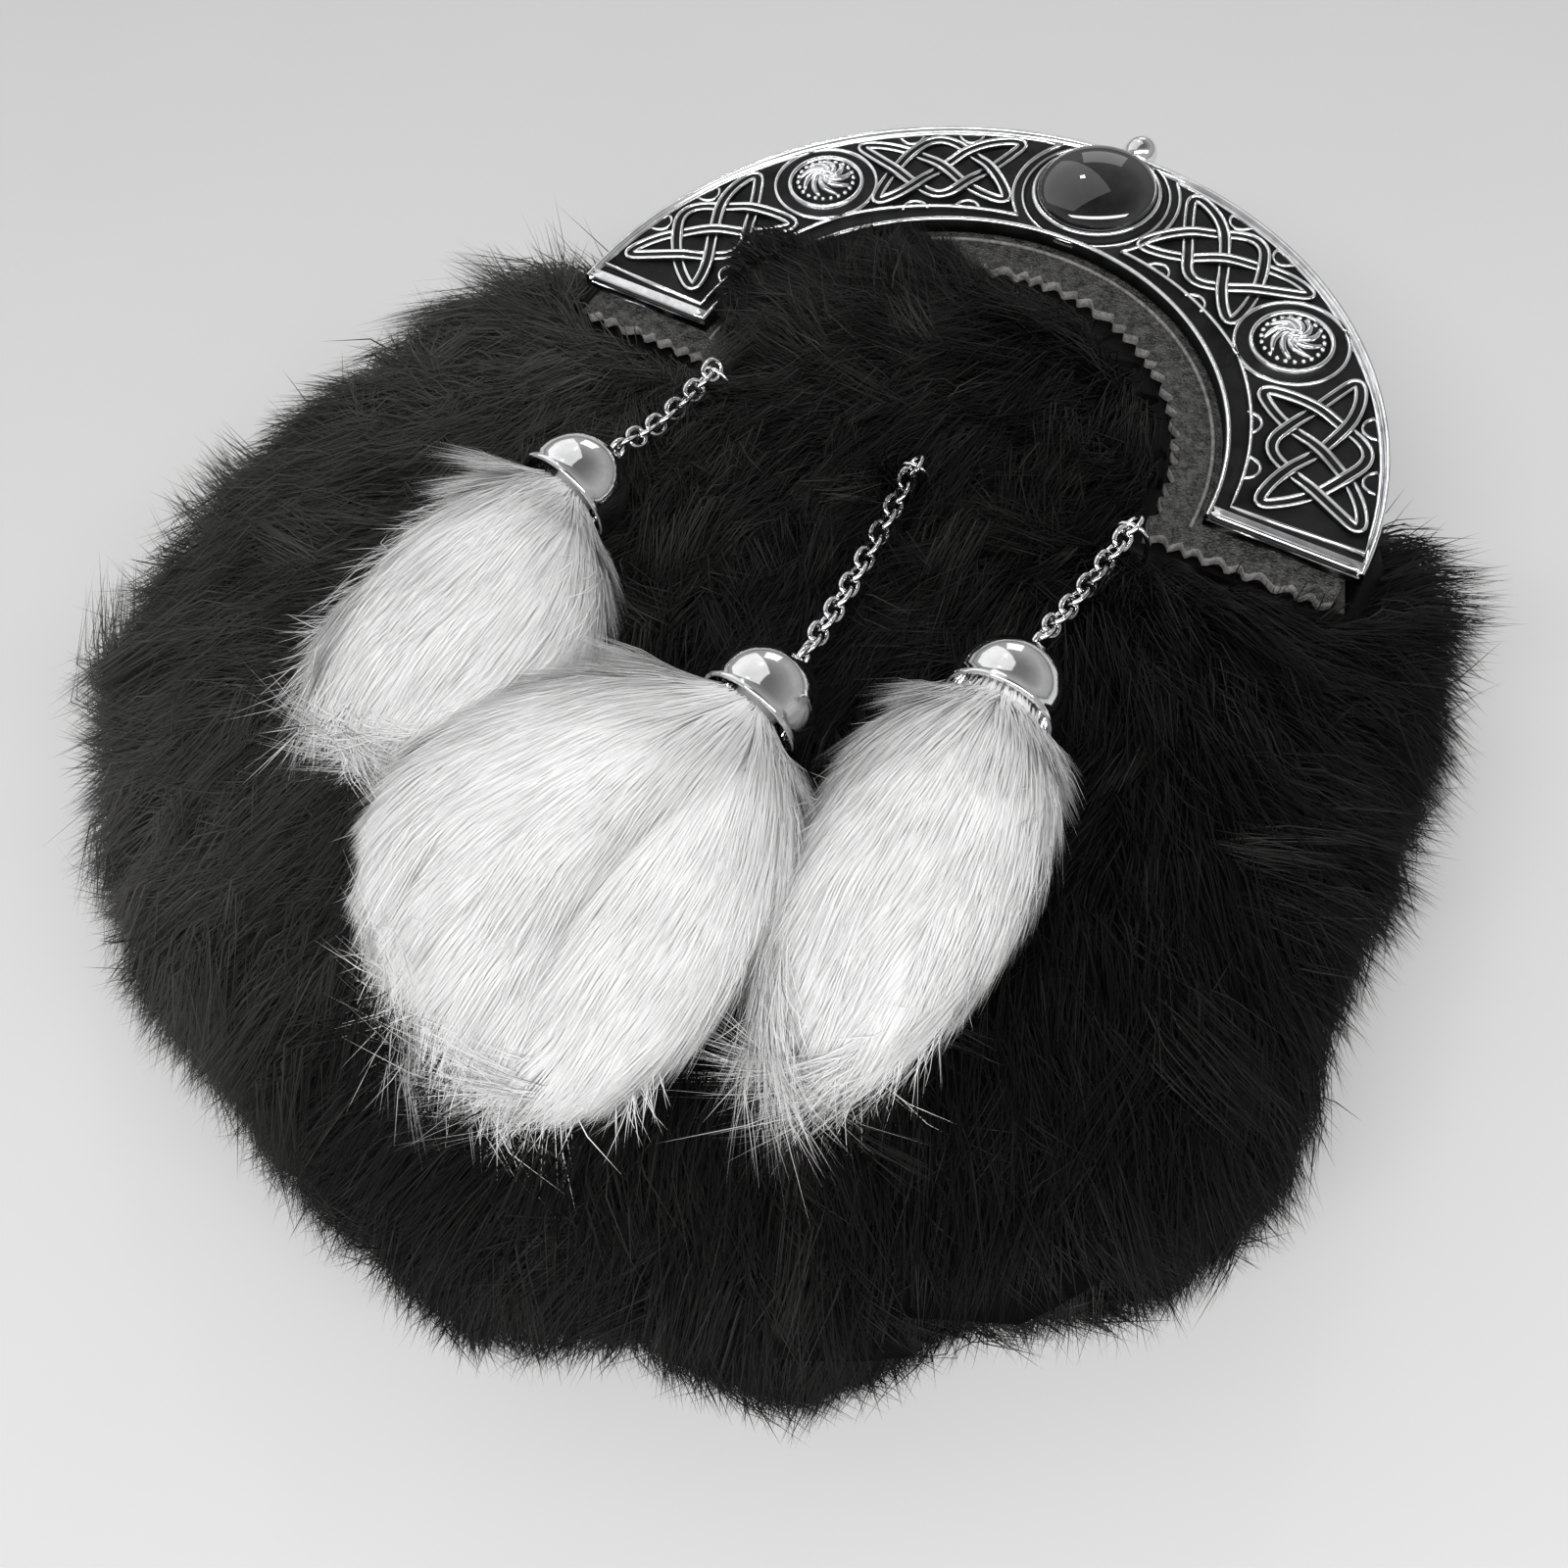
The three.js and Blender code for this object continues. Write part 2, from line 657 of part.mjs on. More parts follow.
function tassels() {
  const floor = furForm(touchGap);
  const forms = drops.map((drop) => tasselForm(drop, 0).subtract(floor));
  const overlapping = tasselForm(drops[2], touchGap);
  forms[1] = forms[1].subtract(overlapping);
  return drops.map((drop, i) => piece(`tassel_${drop.name}`, toGeometry(forms[i]), finishes.whiteFur()));
}

const pinked = toSolid(raised(pinkedHalfRing(), mountLeather.bottomZ, mountLeather.bottomZ + leather));

const sporran = new THREE.Group();
sporran.add(piece('back_panel', toGeometry(backPanel()), finishes.bagLeather()));
sporran.add(piece('gusset', toGeometry(gusset()), finishes.bagLeather()));
sporran.add(piece('fur_front', toGeometry(furFront()), finishes.blackFur()));
sporran.add(piece('belt_loop_left', beltLoop(-loop.x), finishes.bagLeather()));
sporran.add(piece('belt_loop_right', beltLoop(loop.x), finishes.bagLeather()));
sporran.add(piece('cantle_leather', toGeometry(pinked), finishes.mountLeather()));
sporran.add(piece('cantle', toGeometry(cantle()), finishes.chrome()));
sporran.add(piece('stone', cabochon(), finishes.stone()));
for (const drop of drops) {
  sporran.add(piece(`chain_staple_${drop.name}`, stapleGeometry(drop), finishes.chrome()));
  sporran.add(piece(`tassel_cap_${drop.name}`, tasselCap(drop), finishes.chrome()));
  sporran.add(...chainLinks(drop));
}
sporran.add(...tassels());

export default sporran;
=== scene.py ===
"""A fur sporran pouch lying on its back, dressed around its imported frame.

Each sub-assembly is a class: it holds its sizes, builds its meshes and dresses them in its finishes.
Lengths are metres; MM turns a maker's millimetres into them.
"""

from __future__ import annotations

import logging
import math
from dataclasses import dataclass, field
from enum import Enum
from typing import Callable, Iterable, Sequence

import bmesh
import bpy
import numpy as np
from mathutils import Matrix, Vector
from mathutils.kdtree import KDTree

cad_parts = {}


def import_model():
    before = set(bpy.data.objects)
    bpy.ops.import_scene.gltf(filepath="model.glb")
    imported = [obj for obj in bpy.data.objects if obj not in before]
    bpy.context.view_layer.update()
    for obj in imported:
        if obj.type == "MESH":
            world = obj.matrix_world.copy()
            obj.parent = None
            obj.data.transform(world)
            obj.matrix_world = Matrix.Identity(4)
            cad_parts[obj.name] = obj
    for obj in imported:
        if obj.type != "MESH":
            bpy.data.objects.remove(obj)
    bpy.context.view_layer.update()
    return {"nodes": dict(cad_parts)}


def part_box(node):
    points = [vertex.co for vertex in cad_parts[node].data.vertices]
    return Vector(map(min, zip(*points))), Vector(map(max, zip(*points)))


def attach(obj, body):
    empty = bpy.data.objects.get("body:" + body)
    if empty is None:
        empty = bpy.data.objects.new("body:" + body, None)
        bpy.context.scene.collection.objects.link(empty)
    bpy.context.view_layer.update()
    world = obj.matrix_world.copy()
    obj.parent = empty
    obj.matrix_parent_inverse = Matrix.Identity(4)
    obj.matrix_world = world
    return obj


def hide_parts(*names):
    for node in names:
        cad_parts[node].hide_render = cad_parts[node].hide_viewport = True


LOG = logging.getLogger("sporran")
MM = 0.001
BODY = "root"
FRAME_NODES: list[str] = []
UP = Vector((0.0, 0.0, 1.0))

Profile = Sequence[tuple[float, float]]
Colour = tuple[float, float, float]


# ------------------------------------------------------------------ finishes


def fill_ramp(elements: bpy.types.ColorRampElements, stops: Sequence[tuple[float, Colour]]) -> None:
    """Sets a colour ramp's stops."""
    while len(elements) < len(stops):
        elements.new(0.5)
    for element, (place, colour) in zip(elements, stops):
        element.position = place
        element.color = (*colour, 1.0)


class Shading:
    """One material under construction: a principled shader and the nodes that feed it."""

    def __init__(self, name: str) -> None:
        """Starts an empty node tree with a principled shader wired to the output."""
        self.material = bpy.data.materials.new(name)
        self.material.use_nodes = True
        self.tree = self.material.node_tree
        self.tree.nodes.clear()
        self.shader = self.add("ShaderNodeBsdfPrincipled")
        output = self.add("ShaderNodeOutputMaterial")
        self.link(self.shader.outputs["BSDF"], output.inputs["Surface"])
        self.place = self.add("ShaderNodeTexCoord").outputs["Object"]

    def add(self, kind: str, **settings: object) -> bpy.types.Node:
        """Adds a node and sets its properties."""
        node = self.tree.nodes.new(kind)
        for key, value in settings.items():
            setattr(node, key, value)
        return node

    def link(self, source: bpy.types.NodeSocket, target: bpy.types.NodeSocket) -> None:
        """Wires one socket to another."""
        self.tree.links.new(source, target)

    def set(self, **values: object) -> None:
        """Sets the shader's own sockets, with underscores for spaces."""
        for key, value in values.items():
            self.shader.inputs[key.replace("_", " ")].default_value = value

    def noise(self, size: float, detail: float = 4.0, rough: float = 0.55) -> bpy.types.NodeSocket:
        """A noise pattern."""
        node = self.add("ShaderNodeTexNoise")
        node.inputs["Scale"].default_value = 1.0 / size
        node.inputs["Detail"].default_value = detail
        node.inputs["Roughness"].default_value = rough
        self.link(self.place, node.inputs["Vector"])
        return node.outputs["Fac"]

    def cells(self, size: float) -> bpy.types.NodeSocket:
        """Distance to the edges of cells of the given width, for leather grain."""
        node = self.add("ShaderNodeTexVoronoi", feature="DISTANCE_TO_EDGE")
        node.inputs["Scale"].default_value = 1.0 / size
        self.link(self.place, node.inputs["Vector"])
        return node.outputs["Distance"]

    def ramp(self, source: bpy.types.NodeSocket, stops: Sequence[tuple[float, Colour]]) -> bpy.types.NodeSocket:
        """A colour ramp."""
        node = self.add("ShaderNodeValToRGB")
        fill_ramp(node.color_ramp.elements, stops)
        self.link(source, node.inputs["Fac"])
        return node.outputs["Color"]

    def spread(self, source: bpy.types.NodeSocket, low: float, high: float) -> bpy.types.NodeSocket:
        """Maps a 0 to 1 value to the range low to high."""
        node = self.add("ShaderNodeMapRange")
        node.inputs["To Min"].default_value = low
        node.inputs["To Max"].default_value = high
        self.link(source, node.inputs["Value"])
        return node.outputs["Result"]

    def bump(self, layers: Sequence[tuple[bpy.types.NodeSocket, float, float]]) -> None:
        """Stacks bumps, each a height socket, a strength and a depth in metres."""
        normal = None
        for height, strength, depth in layers:
            node = self.add("ShaderNodeBump")
            node.inputs["Strength"].default_value = strength
            node.inputs["Distance"].default_value = depth
            self.link(height, node.inputs["Height"])
            if normal is not None:
                self.link(normal, node.inputs["Normal"])
            normal = node.outputs["Normal"]
        self.link(normal, self.shader.inputs["Normal"])

    def attribute(self, name: str) -> bpy.types.NodeSocket:
        """The value of a number stored on the mesh."""
        return self.add("ShaderNodeAttribute", attribute_name=name).outputs["Fac"]


@dataclass(frozen=True)
class Leather:
    """Grained leather whose pores and creases are bumps, worn lighter in blotches."""

    name: str
    dark: Colour
    light: Colour
    pore: float = 0.9 * MM
    relief: float = 0.6
    roughness: tuple[float, float] = (0.38, 0.62)

    def material(self) -> bpy.types.Material:
        """Builds the leather's material."""
        shade = Shading(self.name)
        blotch = shade.noise(1.5 * MM, 8.0, 0.8)
        shade.link(shade.ramp(blotch, [(0.42, self.dark), (0.60, self.light)]), shade.shader.inputs["Base Color"])
        shade.link(shade.spread(blotch, *self.roughness), shade.shader.inputs["Roughness"])
        shade.set(Specular_IOR_Level=0.45)
        grain = shade.cells(self.pore)
        crease = shade.noise(3.2 * MM, 6.0, 0.65)
        shade.bump([(crease, 0.35 * self.relief, 0.4 * MM), (grain, self.relief, 0.3 * MM)])
        return shade.material


@dataclass(frozen=True)
class Metal:
    """Plated metal with fine wear in its gloss and a soft cast unevenness."""

    name: str
    bright: Colour
    dull: Colour
    roughness: tuple[float, float]
    unevenness: float = 0.08
    metallic: float = 1.0

    def material(self) -> bpy.types.Material:
        """Builds the metal's material."""
        shade = Shading(self.name)
        stain = shade.noise(4 * MM, 6.0, 0.62)
        shade.link(shade.ramp(stain, [(0.34, self.dull), (0.6, self.bright)]), shade.shader.inputs["Base Color"])
        shade.link(shade.spread(stain, *self.roughness), shade.shader.inputs["Roughness"])
        shade.set(Metallic=self.metallic, Specular_IOR_Level=0.5 if self.metallic else 0.18)
        shade.bump([(shade.noise(1.6 * MM, 3.0), self.unevenness, 0.3 * MM)])
        return shade.material


@dataclass(frozen=True)
class Hair:
    """Fur whose colour varies from strand to strand, from under-fur to guard hair, plus the pelt's painted sheen and
    shade.
    """

    name: str
    stops: tuple[tuple[float, Colour], ...]
    roughness: float
    specular: float

    def material(self) -> bpy.types.Material:
        """Builds the hair's material."""
        shade = Shading(self.name)
        colour = shade.ramp(shade.attribute("shade"), self.stops)
        shade.link(colour, shade.shader.inputs["Base Color"])
        shade.set(Roughness=self.roughness, Specular_IOR_Level=self.specular)
        return shade.material


@dataclass(frozen=True)
class Cabochon:
    """A dark polished stone with a faint cloud under its surface."""

    name: str
    deep: Colour
    cloud: Colour

    def material(self) -> bpy.types.Material:
        """Builds the stone's material."""
        shade = Shading(self.name)
        cloud = shade.noise(6 * MM, 5.0, 0.6)
        shade.link(shade.ramp(cloud, [(0.35, self.deep), (0.75, self.cloud)]), shade.shader.inputs["Base Color"])
        shade.set(Roughness=0.0, IOR=1.6, Specular_IOR_Level=0.8)
        return shade.material


@dataclass(frozen=True)
class Paper:
    """The pale even floor."""

    name: str
    tone: Colour

    def material(self) -> bpy.types.Material:
        """Builds the floor's material."""
        shade = Shading(self.name)
        mottle = shade.noise(60 * MM, 3.0)
        low = tuple(0.985 * c for c in self.tone)
        shade.link(shade.ramp(mottle, [(0.3, low), (0.7, self.tone)]), shade.shader.inputs["Base Color"])
        shade.set(Roughness=0.75, Specular_IOR_Level=0.2)
        return shade.material


class Finish(Enum):
    """The finishes that this pouch uses."""

    BAG = Leather("bag_hide", (0.012, 0.011, 0.010), (0.035, 0.033, 0.031))
    MOUNT = Leather("mount_hide", (0.006, 0.0059, 0.0057), (0.075, 0.074, 0.072), 0.7 * MM, 1.6, (0.45, 0.7))
    BRIGHT = Metal("cantle_bright", (0.92, 0.92, 0.93), (0.70, 0.70, 0.71), (0.10, 0.22))
    RECESS = Metal("cantle_recess", (0.010, 0.010, 0.0105), (0.002, 0.002, 0.002), (0.45, 0.65), 0.3, 0.0)
    CHROME = Metal("drop_chrome", (0.93, 0.93, 0.94), (0.78, 0.78, 0.79), (0.04, 0.10), 0.04)
    BLACK_FUR = Hair(
        "pelt_hair",
        ((0.0, (0.0010, 0.0010, 0.0010)), (0.35, (0.0050, 0.0049, 0.0048)), (1.0, (0.060, 0.059, 0.057))), 0.5, 0.12,
    )
    WHITE_FUR = Hair(
        "tassel_hair", ((0.0, (0.71, 0.709, 0.707)), (0.4, (0.77, 0.769, 0.768)), (1.0, (0.85, 0.849, 0.848))), 0.55,
        0.3,
    )
    CUT_EDGE = Leather("leather_cut_edge", (0.11, 0.108, 0.105), (0.26, 0.255, 0.25), 0.6 * MM, 0.5, (0.5, 0.75))
    STONE = Cabochon("stone_polish", (0.003, 0.003, 0.0035), (0.022, 0.022, 0.024))
    FLOOR = Paper("pale_floor", (0.60, 0.60, 0.60))

    @property
    def material(self) -> bpy.types.Material:
        """The finish's material, made the first time that it is asked for."""
        return bpy.data.materials.get(self.value.name) or self.value.material()


# ------------------------------------------------------------------ mesh building


def smooth_object(name: str, mesh: bpy.types.Mesh, finishes: Iterable[Finish]) -> bpy.types.Object:
    """Puts a mesh in the scene."""
    piece = bpy.data.objects.new(name, mesh)
    bpy.context.scene.collection.objects.link(piece)
    for finish in finishes:
        mesh.materials.append(finish.material)
    mesh.polygons.foreach_set("use_smooth", np.ones(len(mesh.polygons), bool))
    return piece


def from_mesh(name: str, bm: bmesh.types.BMesh, finishes: Iterable[Finish]) -> bpy.types.Object:
    """Turns a finished editable mesh into an object."""
    mesh = bpy.data.meshes.new(name)
    bm.to_mesh(mesh)
    bm.free()
    return smooth_object(name, mesh, finishes)


def tone(piece: bpy.types.Object, values: np.ndarray) -> bpy.types.Object:
    """Stores how light the fur is at every vertex, for its finish to read."""
    shade = piece.data.attributes.new("shade", "FLOAT", "POINT")
    shade.data.foreach_set("value", values.astype(np.float32))
    return piece


def oval(width: float, height: float, sides: int) -> Profile:
    """A round or oval profile for a wire or a thread."""
    turns = [2.0 * math.pi * k / sides for k in range(sides)]
    return [(width * math.cos(a), height * math.sin(a)) for a in turns]


class Shell:
    """A mesh built from spun, swept and primitive shapes."""

    def __init__(self) -> None:
        """Starts an empty mesh."""
        self.bm = bmesh.new()

    def spun(self, profile: Profile, place: Matrix, steps: int, slots: Sequence[int] = ()) -> None:
        """Spins a profile of radius and height pairs about the local Z axis; slots gives each edge its finish."""
        verts = [self.bm.verts.new(place @ Vector((r, 0.0, h))) for r, h in profile]
        edges = [self.bm.edges.new(pair) for pair in zip(verts, verts[1:])]
        before = set(self.bm.faces)
        bmesh.ops.spin(
            self.bm, geom=verts + edges, cent=place.translation, axis=place.to_3x3() @ UP, angle=2.0 * math.pi,
            steps=steps, use_merge=True,
        )
        made = [f for f in self.bm.faces if f not in before]
        if slots:
            inverse = place.inverted()
            mids = np.array([((a[0] + b[0]) / 2, (a[1] + b[1]) / 2) for a, b in zip(profile, profile[1:])])
            for face in made:
                local = inverse @ face.calc_center_median()
                gap = np.hypot(mids[:, 0] - math.hypot(local.x, local.y), mids[:, 1] - local.z)
                face.material_index = slots[int(np.argmin(gap))]

    def swept(
        self, path: np.ndarray, profile: Profile, closed: bool, ups: Sequence = UP, slots: Sequence[int] = (),
        scale: np.ndarray | None = None,
    ) -> None:
        """Sweeps a closed profile of width and height pairs along a path; ups is its height direction."""
        ups = np.broadcast_to(np.array(ups, float), path.shape)
        ahead = np.roll(path, -1, axis=0) - np.roll(path, 1, axis=0)
        if not closed:
            ahead[0] = path[1] - path[0]
            ahead[-1] = path[-1] - path[-2]
        side = np.cross(ahead, ups)
        side /= np.linalg.norm(side, axis=1)[:, None]
        ring = np.array([*profile, profile[0]])
        grow = np.ones(len(path)) if scale is None else scale
        count = len(path) + int(closed)
        grid = bmesh.ops.create_grid(self.bm, x_segments=len(ring) - 1, y_segments=count - 1, size=0.5)
        span_x, span_y = len(ring) - 1, count - 1
        faces = {f for v in grid["verts"] for f in v.link_faces}
        columns = {f: int((f.calc_center_median().x + 0.5) * span_x) for f in faces}
        for vert in grid["verts"]:
            i = round((vert.co.x + 0.5) * span_x)
            k = round((vert.co.y + 0.5) * span_y) % len(path)
            width, height = ring[i] * grow[k]
            vert.co = path[k] + side[k] * width + ups[k] * height
        for face, column in columns.items():
            face.material_index = slots[column] if slots else 0
        bmesh.ops.remove_doubles(self.bm, verts=grid["verts"], dist=1e-7)
        if not closed:
            loose = [e for f in faces if f.is_valid for e in f.edges if e.is_boundary]
            bmesh.ops.holes_fill(self.bm, edges=list(set(loose)), sides=0)

    def ball(self, centre: Vector, radius: float, around: int = 32) -> None:
        """Adds a sphere."""
        bmesh.ops.create_uvsphere(
            self.bm, u_segments=around, v_segments=around // 2, radius=radius, matrix=Matrix.Translation(centre),
        )

    def finish(self, name: str, finishes: Sequence[Finish]) -> bpy.types.Object:
        """Closes the mesh, turns its faces outwards and puts it in the scene."""
        bmesh.ops.remove_doubles(self.bm, verts=self.bm.verts, dist=1e-7)
        bmesh.ops.recalc_face_normals(self.bm, faces=self.bm.faces)
        return from_mesh(name, self.bm, finishes)


def merged_copy(node: str) -> bmesh.types.BMesh:
    """A copy of a frame node's mesh with its loose triangles joined."""
    bm = bmesh.new()
    bm.from_mesh(bpy.data.objects[node].data)
    bmesh.ops.remove_doubles(bm, verts=bm.verts, dist=1e-6)
    return bm


def keep(piece: bpy.types.Object, slot: str, *nodes: str) -> bpy.types.Object:
    """Ties a finished piece to the frame."""
    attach(piece, BODY)
    if nodes:
        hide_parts(*nodes)
    LOG.info("%s: %d faces, stands for %s", piece.name, len(piece.data.polygons), nodes or "nothing")
    return piece


# ------------------------------------------------------------------ fur


@dataclass
class Roots:
    """Places on a skin where hair grows, with the skin's outward direction there."""

    points: np.ndarray
    normals: np.ndarray


def scatter(bm: bmesh.types.BMesh, count: int, rng: np.random.Generator, accept: Callable) -> Roots:
    """Scatters roots evenly over a skin."""
    bmesh.ops.triangulate(bm, faces=bm.faces)
    bm.normal_update()
    corners = np.array([[v.co for v in f.verts] for f in bm.faces])
    leans = np.array([[v.normal for v in f.verts] for f in bm.faces])
    flats = np.array([f.normal for f in bm.faces])
    area = np.array([f.calc_area() for f in bm.faces])
    area = area * accept(corners.mean(axis=1), flats)
    pick = rng.choice(len(area), size=count, p=area / area.sum())
    share = rng.dirichlet((1.0, 1.0, 1.0), size=count)
    points = np.einsum("nk,nkd->nd", share, corners[pick])
    normals = np.einsum("nk,nkd->nd", share, leans[pick]) + flats[pick]
    return Roots(points, unit(normals))


def unit(vectors: np.ndarray) -> np.ndarray:
    """Vectors scaled to length one."""
    return vectors / np.maximum(np.linalg.norm(vectors, axis=-1, keepdims=True), 1e-12)


def smoothstep(low: float, high: float, value: np.ndarray) -> np.ndarray:
    """Eases from 0 at low to 1 at high."""
    t = np.clip((value - low) / (high - low), 0.0, 1.0)
    return t * t * (3.0 - 2.0 * t)


@dataclass
class Strands:
    """Hairs, each with a base, a middle and a tip."""

    base: np.ndarray
    middle: np.ndarray
    tip: np.ndarray

    def shorten(self, factor: np.ndarray) -> None:
        """Scales every hair towards its base."""
        self.middle = self.base + (self.middle - self.base) * factor[:, None]
        self.tip = self.base + (self.tip - self.base) * factor[:, None]

    def only(self, kept: np.ndarray) -> Strands:
        """The hairs that a mask keeps."""
        return Strands(self.base[kept], self.middle[kept], self.tip[kept])


@dataclass
class Coat:
    """Hair combed over a skin: locks of flat tapering strands."""

    name: str
    finish: Finish
    length: float
    lean: float
    settle: float
    width: float
    lock: float
    gather: float
    seed: int
    spread: float = 0.16
    roll: float = 0.45
    shade: tuple[float, float] = (0.15, 0.5)
    soft: float = 0.0

    def locks(self, roots: Roots, rng: np.random.Generator) -> np.ndarray:
        """Finds the lock that each hair belongs to."""
        extent = np.ptp(roots.points, axis=0)
        spots = int(extent[0] * extent[1] * 1.3 / self.lock**2)
        middles = rng.choice(len(roots.points), size=min(spots, len(roots.points) // 4), replace=False)
        tree = KDTree(len(middles))
        for i, middle in enumerate(middles):
            tree.insert(roots.points[middle], i)
        tree.balance()
        nearest = np.array([tree.find(p)[1] for p in roots.points])
        return middles[nearest]

    def grow(
        self, roots: Roots, comb: np.ndarray, reach: np.ndarray, depth: np.ndarray,
        tame: Callable[[Strands, np.random.Generator], Strands], painted_light: np.ndarray, floor: float = 0.4 * MM,
    ) -> bpy.types.Object:
        """Grows the hair."""
        rng = np.random.default_rng(self.seed)
        count = len(roots.points)
        lock = self.locks(roots, rng)
        jitter = rng.normal(0.0, 1.0, (count, 3))
        lay = unit(comb + self.spread * jitter + 1.6 * self.spread * jitter[lock])
        across = lay - roots.normals * np.sum(lay * roots.normals, axis=1, keepdims=True)
        across = unit(across)
        lift = np.radians(self.lean) * (1.0 + 0.25 * rng.normal(size=count) + 0.3 * jitter[lock, 0])
        rest = np.radians(self.settle) * (1.0 + 0.3 * rng.normal(size=count) + 0.4 * jitter[lock, 1])
        long = self.length * reach * np.clip(1.0 + 0.2 * rng.normal(size=count) + 0.18 * jitter[lock, 2], 0.35, 1.9)
        first = across * np.cos(lift)[:, None] + roots.normals * np.sin(lift)[:, None]
        second = across * np.cos(rest)[:, None] + roots.normals * np.sin(rest)[:, None]
        base = roots.points - roots.normals * depth[:, None]
        middle = base + first * (0.5 * long)[:, None]
        tip = middle + unit(second + 0.5 * self.spread * jitter) * (0.5 * long)[:, None]
        pull = self.gather * rng.uniform(0.6, 1.0, count)[:, None]
        tip = tip + (tip[lock] - tip) * pull
        middle = middle + (middle[lock] - middle) * pull * 0.45
        strands = tame(Strands(base, middle, tip), rng)
        for place in (strands.base, strands.middle, strands.tip):
            place[:, 2] = np.maximum(place[:, 2], floor)
        roll = roots.normals + self.roll * rng.normal(size=(count, 3))
        flat = unit(np.cross(strands.tip - strands.base, roll))
        wide = self.width * rng.uniform(0.6, 1.2, count)[:, None]
        low, high = self.shade
        # the last term adds the painted sheen and painted shade given by the caller; the rest is random strand and
        # lock variation
        light = low + (high - low) * rng.beta(1.5, 3.0, count) + 0.12 * np.abs(jitter[lock, 1]) + painted_light
        kept = np.linalg.norm(strands.tip - strands.base, axis=1) > 1.5 * MM
        piece = self._mesh(strands.only(kept), (flat * wide)[kept], np.clip(light, 0.0, 1.0)[kept])
        if self.soft:
            facing = unit(self.soft * roots.normals + (1.0 - self.soft) * unit(roll))[kept]
            piece.data.normals_split_custom_set_from_vertices(np.repeat(facing, 5, axis=0).astype(np.float32))
        return piece

    def _mesh(self, strands: Strands, wide: np.ndarray, light: np.ndarray) -> bpy.types.Object:
        """Joins all strands into one mesh: each is a quad and a pointed triangle."""
        base, middle, tip = strands.base, strands.middle, strands.tip
        count = len(base)
        low, high = 0.5 * wide, 0.42 * wide
        corners = np.stack([base - low, base + low, middle + high, middle - high, tip], axis=1)
        start = 5 * np.arange(count)[:, None]
        loops = np.concatenate([start + [0, 1, 2, 3], start + [3, 2, 4]], axis=1)
        starts = 7 * np.arange(count)[:, None] + [0, 4]
        mesh = bpy.data.meshes.new(self.name)
        mesh.vertices.add(5 * count)
        mesh.vertices.foreach_set("co", corners.astype(np.float32).ravel())
        mesh.loops.add(7 * count)
        mesh.loops.foreach_set("vertex_index", loops.astype(np.int32).ravel())
        mesh.polygons.add(2 * count)
        mesh.polygons.foreach_set("loop_start", starts.astype(np.int32).ravel())
        mesh.update(calc_edges=True)
        return tone(smooth_object(self.name, mesh, [self.finish]), np.repeat(light, 5))


